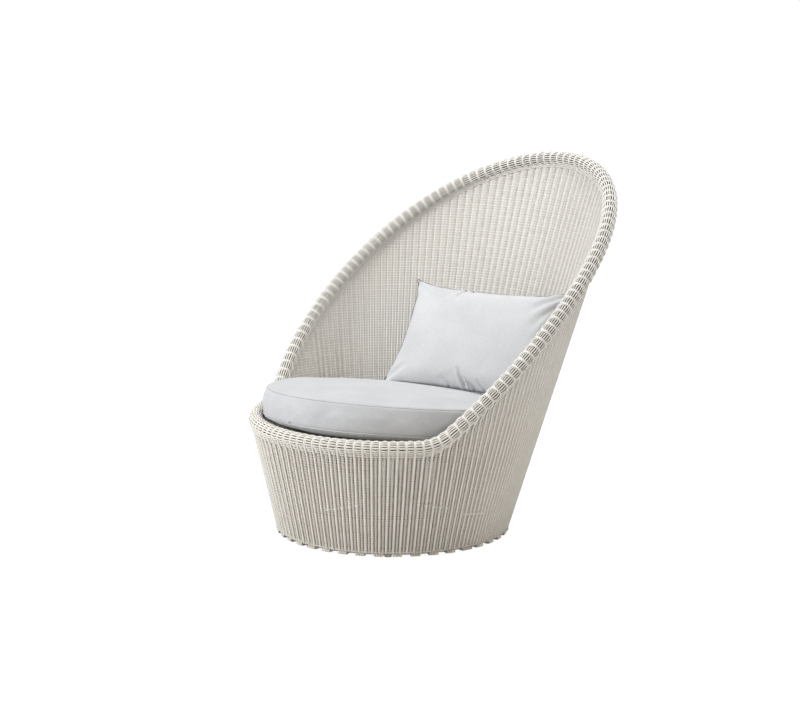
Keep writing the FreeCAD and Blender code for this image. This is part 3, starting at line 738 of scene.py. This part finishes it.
def make_roll_core(rim):
    strands = Strands()
    points, outward, side = rim.at(np.linspace(0, rim.length, 2 * RIB_COUNT, endpoint=False))
    strands.add(points, outward, side, oval(ROLL_CORE_RADIUS, ROLL_CORE_RADIUS, 14), True)
    return strands.build("roll_core", core_shade_cane)


def make_border(rim):
    """Two plain strands side by side along the inner lower edge of the roll."""
    counts = np.arange(0, RIB_COUNT, 1 / 4)
    roll = Roll(rim, counts)
    strands = Strands()
    flat, _ = roll.across(1.0)
    for drop in BORDER_STRAND_DROPS:
        points = roll.point(stack(roll.inset + BORDER_STRAND_OFFSET, flat[:, 1] - drop))
        points = points + roll.outward * (0.0004 * np.sin(counts * math.pi))[:, None]
        strands.add(points, roll.up, roll.outward, oval(BORDER_STRAND_RADIUS, BORDER_STRAND_RADIUS), True)
    return strands.build("roll_border", rib_cane)


def make_foot_band():
    """Two strands twisted round one line at the foot of the wall."""
    strands = Strands()
    turns = round(2 * math.pi * wall_radius(WALL_BOTTOM_HEIGHT) / TWINE_TURN_LENGTH)
    angles = np.linspace(0, 360, 8 * turns, endpoint=False)
    line = wall_point(angles, WALL_BOTTOM_HEIGHT + TWINE_HEIGHT, (COURSE_LOW_OFFSET + COURSE_HIGH_OFFSET) / 2)
    rise, outward = wall_rise(angles), wall_normal(angles)
    for start in (0.0, math.pi):
        turn = (np.radians(angles) * turns + start)[:, None]
        points = line + TWINE_RADIUS * (outward * np.cos(turn) + rise * np.sin(turn))
        strands.add(points, rise, outward, oval(TWINE_RADIUS, TWINE_RADIUS), True)
    return strands.build("foot_band", rib_cane)


def make_lashings():
    """Short ties over the ribs."""
    strands = Strands()
    share = np.linspace(-1, 1, 9)
    for first, first_height, last, last_height in LASHING_RUNS:
        for angle in angle_of(np.arange(RIB_COUNT)):
            if not first - LASHING_RUN_MARGIN <= angle <= last + LASHING_RUN_MARGIN:
                continue
            height = np.interp(angle, (first, last), (first_height, last_height))
            angles = angle + np.degrees(share * LASHING_HALF_LENGTH / wall_radius(height))
            offsets = LASHING_OFFSET - (LASHING_OFFSET - COURSE_LOW_OFFSET) * share ** 4
            points = wall_point(angles, height, offsets)
            strands.add(points, wall_rise(angles), wall_normal(angles), oval(LASHING_RADIUS, LASHING_RADIUS))
    return strands.build("lashings", tie_cane)


# Foot and deck.


def make_wraps():
    """Flat cane wound round the floor ring in short groups."""
    strands = Strands()
    radius = (ring_high.x - ring_low.x - RING_TUBE_SIDE) / 2
    half = RING_TUBE_SIDE / 2 + WRAP_OFFSET
    lip = wall_radius(WALL_BOTTOM_HEIGHT) + WRAP_LIP_OFFSET - radius
    top = RING_MIDDLE_HEIGHT + half
    line = np.array([(0, top), (-half, top), (-half, WRAP_FOOT_HEIGHT), (lip - 0.001, WRAP_FOOT_HEIGHT),
                     (lip, WRAP_FOOT_HEIGHT + 0.004), (lip - 0.001, WALL_BOTTOM_HEIGHT - 0.001),
                     (half - 0.002, WALL_BOTTOM_HEIGHT + 0.001), (half - 0.002, top), (0, top)])
    length = lengths_along(line)
    flat = smoothed(columns_at(np.linspace(0, length[-1], 40, endpoint=False), length, line), 1)
    step = unit(np.roll(flat, -1, 0) - np.roll(flat, 1, 0))
    for number in range(WRAP_COUNT):
        for lap in range(WRAP_TURNS):
            slide = (lap - (WRAP_TURNS - 1) / 2) * WRAP_TURN_PITCH
            out = ring_direction(360.0 * number / WRAP_COUNT + math.degrees(slide / radius))
            points = np.array([0, RING_MIDDLE_Y, 0]) + out * (radius + flat[:, :1]) + UP * flat[:, 1:]
            away = out * step[:, 1:] - UP * step[:, :1]
            across = np.broadcast_to(np.cross(UP, out), points.shape)
            strands.add(points, across, away, oval(*WRAP_SECTION), True)
    return strands.build("foot_wraps", flat_cane)


def smoothed(line, rounds):
    """Points of a closed line, each drawn towards its two neighbours."""
    for _ in range(rounds):
        line = (np.roll(line, 1, 0) + 2 * line + np.roll(line, -1, 0)) / 4
    return line


def deck_point(x, y, depth):
    tilt = math.radians(SEAT_TILT)
    return stack(x, FRAME_Y + y * math.cos(tilt) - depth * math.sin(tilt),
                 SEAT_CENTRE_HEIGHT - y * math.sin(tilt) - depth * math.cos(tilt))


def inside_wall(points, rim_line):
    """True where a point of the deck is inside the wall and clear of the roll."""
    reach = np.hypot(points[:, 0], points[:, 1] - wall_middle_y(points[:, 2]))
    far = np.linalg.norm(points[:, None] - rim_line, axis=-1).min(-1)
    return (reach < wall_radius(points[:, 2]) - DECK_EDGE_GAP) & (far > RIM_ROLL_RADIUS + 0.001)


def make_deck():
    """Flat strips woven over and under each other."""
    strands = Strands()
    rim_line = rim_point(np.arange(0, 360, 2.0))
    lines = np.arange(-DECK_REACH, DECK_REACH + DECK_STRIP_PITCH, DECK_STRIP_PITCH)
    samples = np.arange(-DECK_REACH, DECK_REACH, DECK_STRIP_PITCH / 2)
    up = deck_point(0.0, 0.0, -1.0) - deck_point(0.0, 0.0, 0.0)
    for direction in (0, 1):
        for number, line in enumerate(lines):
            wave = np.cos(np.pi * (samples - lines[0]) / DECK_STRIP_PITCH + np.pi * (number + direction))
            depth = DECK_THICKNESS / 2 - DECK_THICKNESS / 4 * wave
            places = (samples, np.full_like(samples, line))
            points = deck_point(*(places[::-1] if direction else places), depth)
            points = points[inside_wall(points, rim_line)]
            if len(points) < 4:
                continue
            across = np.cross(unit(points[-1] - points[0]), up)
            across, outward = [np.broadcast_to(way, points.shape) for way in (across, up)]
            strands.add(points, across, outward, oval(*DECK_STRIP_SECTION))
    return strands.build("deck_strips", deck_shade_cane)


# Soft pieces.


def turn(axis, degrees):
    """Rotation about the axis with this number."""
    c, s = math.cos(math.radians(degrees)), math.sin(math.radians(degrees))
    matrix = np.eye(3)
    first, second = (axis + 1) % 3, (axis + 2) % 3
    matrix[first, first] = matrix[second, second] = c
    matrix[first, second], matrix[second, first] = -s, s
    return matrix


def cushion_lift():
    """Height of the cushion's middle over the deck, with its leaning, crowned underside clear of it."""
    crown_radius = (CUSHION_RADIUS ** 2 + CUSHION_BOTTOM_CROWN ** 2) / (2 * CUSHION_BOTTOM_CROWN)
    dip = crown_radius * (1 - math.cos(math.radians(CUSHION_SIDE_LEAN)))
    return CUSHION_SEAM_SPACING / 2 + CUSHION_BOTTOM_CROWN + dip + SEAT_CLEARANCE


def cushion_placement():
    """Middle and rotation of the seat cushion, laid on the deck."""
    tilt = turn(0, -SEAT_TILT)
    middle = np.array([0, FRAME_Y, SEAT_CENTRE_HEIGHT]) + tilt @ np.array([0, CUSHION_SETBACK, cushion_lift()])
    return middle, tilt @ turn(1, -CUSHION_SIDE_LEAN)


def pillow_placement():
    """Foot and rotation of the pillow: X along its lower edge, Z up the pillow, -Y to the front."""
    middle, rotation = cushion_placement()
    top = middle + rotation @ np.array([0, 0, CUSHION_SEAM_SPACING / 2 + CUSHION_TOP_CROWN])
    foot_y = FRAME_Y + PILLOW_FOOT_Y
    foot_z = top[2] - math.tan(math.radians(SEAT_TILT)) * (foot_y - top[1])
    foot_z += math.tan(math.radians(CUSHION_SIDE_LEAN)) * PILLOW_FOOT_X
    foot = np.array([PILLOW_FOOT_X, foot_y, foot_z + PILLOW_FOOT_LIFT])
    return foot, turn(2, PILLOW_TURN) @ turn(0, -PILLOW_LEAN)


def read(items, name, width=1, kind=np.int32):
    values = np.zeros(len(items) * width, kind)
    items.foreach_get(name, values)
    return values.reshape(-1, width) if width > 1 else values


def coordinates(mesh, name="co"):
    return read(mesh.vertices, name, 3, np.float32).astype(float)


def rest_of(mesh):
    return read(mesh.attributes["rest"].data, "vector", 3, np.float32).astype(float)


def move_to(mesh, points):
    mesh.vertices.foreach_set("co", points.astype(np.float32).ravel())
    mesh.update()


def baked(piece):
    """Replaces the piece's mesh by what its modifiers make of it."""
    graph = bpy.context.evaluated_depsgraph_get()
    made = piece.evaluated_get(graph)
    mesh = bpy.data.meshes.new_from_object(made, preserve_all_data_layers=True, depsgraph=graph)
    piece.modifiers.clear()
    piece.data = mesh
    mesh.polygons.foreach_set("use_smooth", np.full(len(mesh.polygons), True))


def same_box(points, model):
    """Points stretched about their middle to the box of a model."""
    low, high = model.min(0), model.max(0)
    own_low, own_high = points.min(0), points.max(0)
    return (low + high) / 2 + (points - (own_low + own_high) / 2) * (high - low) / (own_high - own_low)


def evened(mesh, values, rounds):
    """Values at the points of a mesh, each drawn towards the mean of its neighbours."""
    pairs = read(mesh.edges, "vertices", 2)
    both = np.concatenate([pairs, pairs[:, ::-1]]).T
    count = np.maximum(np.bincount(both[0], minlength=len(values)), 1)
    for _ in range(rounds):
        sums = stack(*[np.bincount(both[0], column[both[1]], len(values)) for column in values.T])
        values = (values + sums / count[:, None]) / 2
    return values


def inflate(piece, voxel, pressure, cap):
    """Remeshes a closed shape, swells it as cloth and subdivides it. The start stays in the attribute rest."""
    model = coordinates(piece.data)
    remesh = piece.modifiers.new("remesh", "REMESH")
    remesh.mode = "VOXEL"
    remesh.voxel_size = voxel
    baked(piece)
    start = coordinates(piece.data)
    cloth = piece.modifiers.new("cloth", "CLOTH")
    settings = cloth.settings
    settings.use_pressure = True
    settings.uniform_pressure_force = pressure
    settings.tension_stiffness = CLOTH_STIFFNESS
    settings.compression_stiffness = CLOTH_STIFFNESS
    settings.effector_weights.gravity = 0.0
    cloth.collision_settings.use_collision = False
    for step in range(1, CLOTH_STEPS + 1):
        bpy.context.scene.frame_set(step)
    graph = bpy.context.evaluated_depsgraph_get()
    way = same_box(coordinates(piece.evaluated_get(graph).data), start) - start
    piece.modifiers.clear()
    bpy.context.scene.frame_set(1)
    length = np.maximum(np.linalg.norm(way, axis=1, keepdims=True), 1e-9)
    way = evened(piece.data, way * cap * np.tanh(length / cap) / length, 8)
    move_to(piece.data, start + way)
    rest = piece.data.attributes.new("rest", "FLOAT_VECTOR", "POINT")
    rest.data.foreach_set("vector", start.astype(np.float32).ravel())
    subdivide = piece.modifiers.new("subdivide", "SUBSURF")
    subdivide.levels = subdivide.render_levels = 1
    baked(piece)
    move_to(piece.data, same_box(coordinates(piece.data), model))


def nearest_tree(points):
    tree = KDTree(len(points))
    for number, point in enumerate(points):
        tree.insert(point, number)
    tree.balance()
    return tree


def lift_off(corners, support, gap):
    """Raises corners that would sink into the support below them."""
    tree = BVHTree.FromObject(support, bpy.context.evaluated_depsgraph_get())
    for number in np.flatnonzero(corners[:, 2] < corners[:, 2].min() + 0.10):
        hit = tree.ray_cast(Vector((*corners[number, :2], 1.0)), Vector((0, 0, -1)))[0]
        if hit is not None:
            corners[number, 2] = max(corners[number, 2], hit.z + gap)


def keep_off_roll(corners, rim):
    """Dents corners in where they come too near to the roll's middle line."""
    tree = nearest_tree(rim.points)
    for number, corner in enumerate(corners):
        nearest, _, far = tree.find(Vector(corner))
        if far < ROLL_REST_DISTANCE:
            corners[number] = np.array(nearest) + (corner - np.array(nearest)) * ROLL_REST_DISTANCE / far


def keep_in_wall(corners, gap):
    """Draws in corners that would touch the wall."""
    middle = stack(0 * corners[:, 2], wall_middle_y(corners[:, 2]))
    away = corners[:, :2] - middle
    share = np.minimum(1, (wall_radius(corners[:, 2]) - gap) / np.linalg.norm(away, axis=1))
    corners[:, :2] = middle + away * share[:, None]


def lift_off_deck(corners):
    """Raises corners, in the cushion's own axes, that would sink into the deck."""
    lean = math.radians(CUSHION_SIDE_LEAN)
    deck = -cushion_lift() / math.cos(lean) - corners[:, 0] * math.tan(lean)
    corners[:, 2] = np.maximum(corners[:, 2], deck + CUSHION_DECK_GAP)


def follow_surface(mesh, guide, rounds=5):
    """Points of the swollen surface that started nearest to a closed guide line."""
    tree = nearest_tree(rest_of(mesh))
    here = coordinates(mesh)
    return smoothed(np.array([here[tree.find(Vector(point))[1]] for point in guide]), rounds)


def add_cord(strands, line, centre, radius, closed=True):
    """Round cord sewn along a line."""
    tangent = unit(np.roll(line, -1, 0) - np.roll(line, 1, 0) if closed else np.gradient(line, axis=0))
    outward = square_to(tangent, line - centre)
    points = line + outward * radius * CORD_RISE_SHARE
    strands.add(points, np.cross(tangent, outward), outward, oval(radius, radius, 8), closed)


def piping(name, line, centre, radius, material):
    strands = Strands()
    add_cord(strands, line, centre, radius)
    return strands.build(name, material)


def edge_shift(points):
    """Height by which the cushion's edge stands off its even place, fading to nothing at its middle."""
    places = np.arange(-540, 541, 5.0)
    table = np.interp(places, *zip(*CUSHION_EDGE_SHIFTS), period=360)
    table = np.convolve(table, np.array([1, 2, 3, 2, 1]) / 9, "same")
    here = np.degrees(np.arctan2(points[:, 0], -points[:, 1]))
    share = np.clip(np.hypot(points[:, 0], points[:, 1]) / CUSHION_RADIUS, 0, 1)
    return np.interp(here, places, table) * share ** 3


def grid_mesh(name, corners, rows, columns, material):
    """Closed mesh of rings of corners, with a face over the first and the last ring."""
    i = np.repeat(np.arange(rows - 1), columns) * columns
    j = np.tile(np.arange(columns), rows - 1)
    j_next = (j + 1) % columns
    quads = stack(i + j, i + columns + j, i + columns + j_next, i + j_next)
    first = np.arange(columns)
    loops = np.concatenate([quads.ravel(), first, first[::-1] + (rows - 1) * columns])
    sizes = np.concatenate([np.full(len(quads), 4), [columns, columns]])
    return mesh_object(name, corners, loops, sizes, material)


def cushion_start():
    """Revolved outline of the cushion before it swells."""
    half = CUSHION_SEAM_SPACING / 2
    shares = np.linspace(0.02, 1, 26)
    rings = [(CUSHION_RADIUS * s, half + CUSHION_TOP_CROWN * (1 - s ** CUSHION_CROWN_POWER)) for s in shares]
    rings += [(CUSHION_RADIUS + CUSHION_SIDE_SWELL * (1 - s ** 2), half * s) for s in np.linspace(1, -1, 14)[1:-1]]
    rings += [(CUSHION_RADIUS - inset, -half - drop) for inset, drop in ((0, 0), *CUSHION_LOWER_BAND)]
    inset, drop = CUSHION_LOWER_BAND[-1]
    reach, level = CUSHION_RADIUS - inset, -half - drop
    rings += [(reach * s, level - CUSHION_BAND_SAG * (1 - s ** 2)) for s in shares[-2::-1]]
    turns = np.linspace(0, 2 * math.pi, 160, endpoint=False)
    corners = np.array([(r * math.sin(t), -r * math.cos(t), h) for r, h in rings for t in turns])
    corners[:, 2] += edge_shift(corners)
    lift_off_deck(corners)
    return grid_mesh("seat_cushion", corners, len(rings), len(turns), cushion_cloth)


def paint_underside_shade(mesh, level, limit):
    """Gives the faces of the cushion that start under a level a darker cloth, which paints the shade under the
    cushion's edge.
    """
    starts = read(mesh.polygons, "loop_start")
    below = np.maximum.reduceat(level[read(mesh.loops, "vertex_index")], starts) < limit
    mesh.materials.append(underside_shade_cloth)
    mesh.polygons.foreach_set("material_index", below.astype(np.int32))
    mesh.update()


def make_cushion(rim):
    piece = cushion_start()
    inflate(piece, voxel=0.0077, pressure=3.0, cap=0.008)
    mesh = piece.data
    half = CUSHION_SEAM_SPACING / 2
    rest = rest_of(mesh)
    level = rest[:, 2] - edge_shift(rest)
    inward = np.hypot(rest[:, 0], rest[:, 1]) - CUSHION_RADIUS
    groove = sum(np.exp(-(np.hypot(inward, level - seam) / CUSHION_SEAM_REACH) ** 2) for seam in (half, -half))
    corners = coordinates(mesh) - coordinates(mesh, "normal") * (CUSHION_SEAM_DEPTH * groove)[:, None]
    lift_off_deck(corners)
    corners[:, :2] *= (CUSHION_RADIUS + CUSHION_SIDE_SWELL) / np.hypot(corners[:, 0], corners[:, 1]).max()
    move_to(mesh, corners)
    # Painted shade: the underside below the bottom piping gets the darker cloth.
    paint_underside_shade(mesh, level, -half - CUSHION_UNDERSIDE_DROP)
    angles = np.arange(-180, 180, 0.75)
    circle = ring_direction(angles) * CUSHION_RADIUS
    circle[:, 2] = edge_shift(circle)
    centre = np.zeros(3)
    heights = (half, -half, CUSHION_ZIP_RISE - half)
    top, bottom, flap = [follow_surface(mesh, circle + UP * height) for height in heights]
    strands = Strands()
    covered = np.flatnonzero((angles > CUSHION_ZIP_ANGLES[0]) & (angles < CUSHION_ZIP_ANGLES[1]))
    add_cord(strands, flap[covered], centre, CUSHION_ZIP_CORD_RADIUS, False)
    end = covered[-1]
    shares = np.linspace(-0.5, 1.5, 6)[:, None]
    add_cord(strands, bottom[end] + (flap[end] - bottom[end]) * shares, centre, CUSHION_ZIP_END_RADIUS, False)
    trims = [piping("cushion_top_seam", top, centre, CUSHION_TOP_SEAM_RADIUS, seam_cloth),
             piping("cushion_bottom_piping", bottom, centre, CUSHION_PIPING_RADIUS, cushion_cloth),
             strands.build("cushion_zip_flap", cushion_cloth)]
    middle, rotation = cushion_placement()
    for item in (piece, *trims):
        corners = coordinates(item.data) @ rotation.T + middle
        keep_off_roll(corners, rim)
        move_to(item.data, corners)
    settle(piece, "seat_cushion", "cushion_fabric", "seat_cushion_cover", "seat_cushion_foam")
    for item in trims:
        settle(item, "seat_cushion", "cushion_fabric")
    return piece


def pillow_outline(across, up):
    """Point of the pillow's edge at shares of its half width and half height, drawn in between the corners."""
    draw = np.where(np.asarray(up) > 0, PILLOW_SIDE_DRAW, PILLOW_FOOT_DRAW)
    half_height = PILLOW_HEIGHT / 2 - draw * (1 - across ** 2)
    half_width = PILLOW_WIDTH / 2 - PILLOW_SIDE_DRAW * (1 - up ** 2)
    return across * half_width, PILLOW_HEIGHT / 2 + up * half_height


def pillow_start():
    """Lens-shaped start of the pillow, in rings across its width."""
    shares = np.sin(np.linspace(-math.pi / 2, math.pi / 2, 61))
    rows = []
    for across in shares:
        x, z = pillow_outline(across, shares)
        fullness = np.sqrt(np.maximum(1 - across ** 2, 0)) * np.sqrt(np.maximum(1 - shares ** 2, 0))
        depth = PILLOW_EDGE_THICKNESS / 2 + (PILLOW_THICKNESS - PILLOW_EDGE_THICKNESS) / 2 * fullness
        front, back = [stack(x + 0 * shares, side * depth, z) for side in (-1, 1)]
        rows.append(np.concatenate([front, back[::-1]]))
    return grid_mesh("back_pillow_cloth", np.concatenate(rows), len(rows), len(rows[0]), pillow_cloth)


def sag(corners):
    """Lets the lower part of the pillow down onto the cushion, most at its far side."""
    across = np.clip((corners[:, 0] / PILLOW_WIDTH + 0.25) / 0.70, 0, 1)
    drop = PILLOW_SAG + PILLOW_SIDE_SAG * across ** 2 * (3 - 2 * across)
    corners[:, 2] -= drop * np.clip(1 - corners[:, 2] / PILLOW_HEIGHT, 0, 1.05)


def crease_depths(points):
    """How far the creases draw in the front of the pillow at these points, with a soft ridge at each side."""
    depths = np.zeros(len(points))
    flat = points[:, [0, 2]]
    for x, z, end_x, end_z, width, depth in PILLOW_CREASES:
        start, way = np.array([x, z]), np.array([end_x - x, end_z - z])
        share = np.clip((flat - start) @ way / (way @ way), 0, 1)
        far = np.linalg.norm(flat - start - share[:, None] * way, axis=1) / width
        profile = 0.35 * np.exp(-(far - 2) ** 2) - np.exp(-far ** 2)
        depths += depth * np.sqrt(np.clip(1.02 - share, 0, 1)) * profile
    return np.where(points[:, 1] < 0, depths, 0.3 * depths)


def make_pillow(rim, cushion):
    piece = pillow_start()
    inflate(piece, voxel=0.005, pressure=3.0, cap=0.012)
    mesh = piece.data
    move_to(mesh, coordinates(mesh) + coordinates(mesh, "normal") * crease_depths(rest_of(mesh))[:, None])
    edge = np.linspace(-1, 1, PILLOW_EDGE_SAMPLES)
    sides = [pillow_outline(*pair) for pair in ((edge, 1.0), (1.0, -edge), (-edge, -1.0), (-1.0, edge))]
    guide = np.concatenate([stack(x + 0 * edge, 0 * edge, z + 0 * edge)[:-1] for x, z in sides])
    line = follow_surface(mesh, guide, 2)
    line[:, 1] = 0.5 * line[:, 1]
    centre = np.array([0, 0, PILLOW_HEIGHT / 2])
    line = line + unit(line - centre) * PILLOW_CORD_OFFSET
    strands = Strands()
    add_cord(strands, line, centre, PILLOW_CORD_RADIUS)
    turns = np.radians(np.arange(0, 360, 20))[:, None]
    away, aside = PILLOW_LOOP_RADII
    for corner in line[::PILLOW_EDGE_SAMPLES - 1]:
        out = unit(corner - centre)
        side = np.array([out[2], 0, -out[0]])
        middle = corner + out * PILLOW_LOOP_OFFSET
        loop = middle + out * (away * np.cos(turns)) + side * (aside * np.sin(turns))
        add_cord(strands, loop, middle, PILLOW_LOOP_CORD_RADIUS)
    cord = strands.build("pillow_edge_cord", edge_cloth)
    foot, rotation = pillow_placement()
    for item in (piece, cord):
        corners = coordinates(item.data)
        sag(corners)
        corners = corners @ rotation.T + foot
        lift_off(corners, cushion, PILLOW_REST_GAP)
        keep_in_wall(corners, PILLOW_WALL_GAP)
        keep_off_roll(corners, rim)
        move_to(item.data, corners)
    settle(piece, "back_pillow", "cushion_fabric", "back_pillow")
    settle(cord, "back_pillow", "cushion_fabric")


# Studio.


def seen_directly(tree):
    """1 for camera rays and for rays that a glossy or clear surface sends on."""
    rays = node(tree, "ShaderNodeLightPath", {}).outputs
    seen = math_node(tree, "MAXIMUM", rays["Is Camera Ray"], rays["Is Glossy Ray"])
    return math_node(tree, "MAXIMUM", seen, rays["Is Transmission Ray"])


def mixed_output(tree, kind, share, first, second):
    mix = node(tree, "ShaderNodeMixShader", {0: share, 1: first.outputs[0], 2: second.outputs[0]})
    node(tree, kind, {"Surface": mix.outputs[0]})


def make_stage():
    """Pale floor that runs to a white background and keeps the chair's shadow."""
    material, tree = surface("studio_floor")
    tree.nodes.clear()
    middle = (FOOT_SHADE_MIDDLE[0], FRAME_Y + FOOT_SHADE_MIDDLE[1], 0)
    away = node(tree, "ShaderNodeVectorMath", {0: object_place(tree), 1: middle}, operation="DISTANCE")
    outside = math_node(tree, "GREATER_THAN", away.outputs["Value"], FOOT_SHADE_RADIUS)
    lit_there = math_node(tree, "MULTIPLY", seen_directly(tree), outside)
    plain = node(tree, "ShaderNodeBsdfDiffuse", {"Color": (0.80, 0.79, 0.78, 1)})
    shadowed = node(tree, "ShaderNodeBsdfDiffuse", {"Color": (0.26, 0.26, 0.26, 1)})
    glow = node(tree, "ShaderNodeEmission", {"Strength": 0.93})
    lit = node(tree, "ShaderNodeAddShader", {0: shadowed.outputs[0], 1: glow.outputs[0]})
    mixed_output(tree, "ShaderNodeOutputMaterial", lit_there, plain, lit)
    corners = FLOOR_HALF_SIDE * np.array([(-1, -1, 0), (1, -1, 0), (1, 1, 0), (-1, 1, 0)])
    mesh_object("studio_floor", corners, np.arange(4), np.array([4]), material)


def make_world():
    world = bpy.data.worlds.new("studio")
    bpy.context.scene.world = world
    world.use_nodes = True
    tree = world.node_tree
    tree.nodes.clear()
    ambient = node(tree, "ShaderNodeBackground", {"Color": (1.0, 0.98, 0.95, 1), "Strength": 0.38})
    white = node(tree, "ShaderNodeBackground", {"Color": (1.0, 1.0, 1.0, 1), "Strength": 1.0})
    mixed_output(tree, "ShaderNodeOutputWorld", seen_directly(tree), ambient, white)


def direction_to(azimuth, elevation):
    az, el = math.radians(azimuth), math.radians(elevation)
    return Vector((math.sin(az) * math.cos(el), -math.cos(az) * math.cos(el), math.sin(el)))


def aim(name, data, away, distance, forward):
    """Lamp or camera at a distance from the chair that looks along a direction."""
    made = linked(name, data)
    made.location = Vector((0, FRAME_Y, AIM_HEIGHT)) + away * distance
    made.rotation_euler = forward.to_track_quat("-Z", "Y").to_euler()
    return made


def make_lamp(name, azimuth, elevation, distance, size, power, colour):
    """Soft square lamp that looks at the chair."""
    data = bpy.data.lights.new(name, "AREA")
    data.shape = "SQUARE"
    data.size = size
    data.energy = power
    data.color = colour
    away = direction_to(azimuth, elevation)
    aim(name, data, away, distance, -away)


def make_camera():
    """Camera that puts the aim point on its pixel of the photograph's frame, with no shift and no roll."""
    data = bpy.data.cameras.new("camera")
    data.sensor_fit = "HORIZONTAL"
    data.angle = math.radians(CAMERA_VIEW_ANGLE)
    data.clip_end = 100.0
    away = direction_to(CAMERA_AZIMUTH, CAMERA_ELEVATION)
    focal = IMAGE_WIDTH / 2 / math.tan(math.radians(CAMERA_VIEW_ANGLE) / 2)
    yaw = math.atan((AIM_PIXEL[0] - IMAGE_WIDTH / 2) / focal)
    pitch = math.atan((AIM_PIXEL[1] - IMAGE_HEIGHT / 2) / focal)
    heading = math.atan2(-away.y, -away.x) + yaw / math.cos(math.radians(CAMERA_ELEVATION))
    rise = math.asin(-away.z) + pitch
    forward = Vector((math.cos(rise) * math.cos(heading), math.cos(rise) * math.sin(heading), math.sin(rise)))
    bpy.context.scene.camera = aim("camera", data, away, CAMERA_DISTANCE, forward)


def paint_nodes():
    """Materials of the CAD nodes that stay."""
    coats = {"glides": glide_nylon, "floor_ring": ring_coat}
    for name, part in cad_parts.items():
        if not part.material_slots:
            part.data.materials.append(None)
        for slot in part.material_slots:
            slot.material = coats.get(name, frame_shade_coat)


def main():
    paint_nodes()
    rim = Rim()
    half = ROLL_STRAND_COUNT // 2
    make_courses()
    for piece, *nodes in (
        (make_ribs(rim), "wall_stakes"),
        (make_inner_stakes(),),
        (make_foot_band(),),
        (make_lashings(),),
        (make_roll_strands(rim, range(ROLL_FIRST_STRAND, half), "roll_strands_1"), "rim_roll"),
        (make_roll_strands(rim, range(half, ROLL_STRAND_COUNT), "roll_strands_2"),),
        (make_roll_core(rim),),
        (make_border(rim),),
        (make_wraps(), "floor_wraps"),
        (make_deck(), "seat_deck"),
    ):
        settle(piece, "chair_frame", "cane", *nodes)
    make_pillow(rim, make_cushion(rim))
    make_stage()
    make_world()
    make_lamp("key_lamp", -26.0, 26.0, 5.0, 2.8, 184.0, (0.955, 0.975, 1.0))
    make_lamp("top_lamp", 170.0, 76.0, 5.0, 3.0, 165.0, (0.97, 0.985, 1.0))
    make_lamp("fill_lamp", 75.0, 25.0, 6.0, 4.0, 48.0, (1.0, 0.92, 0.81))
    make_camera()
    bpy.context.scene.view_settings.view_transform = "Standard"


main()
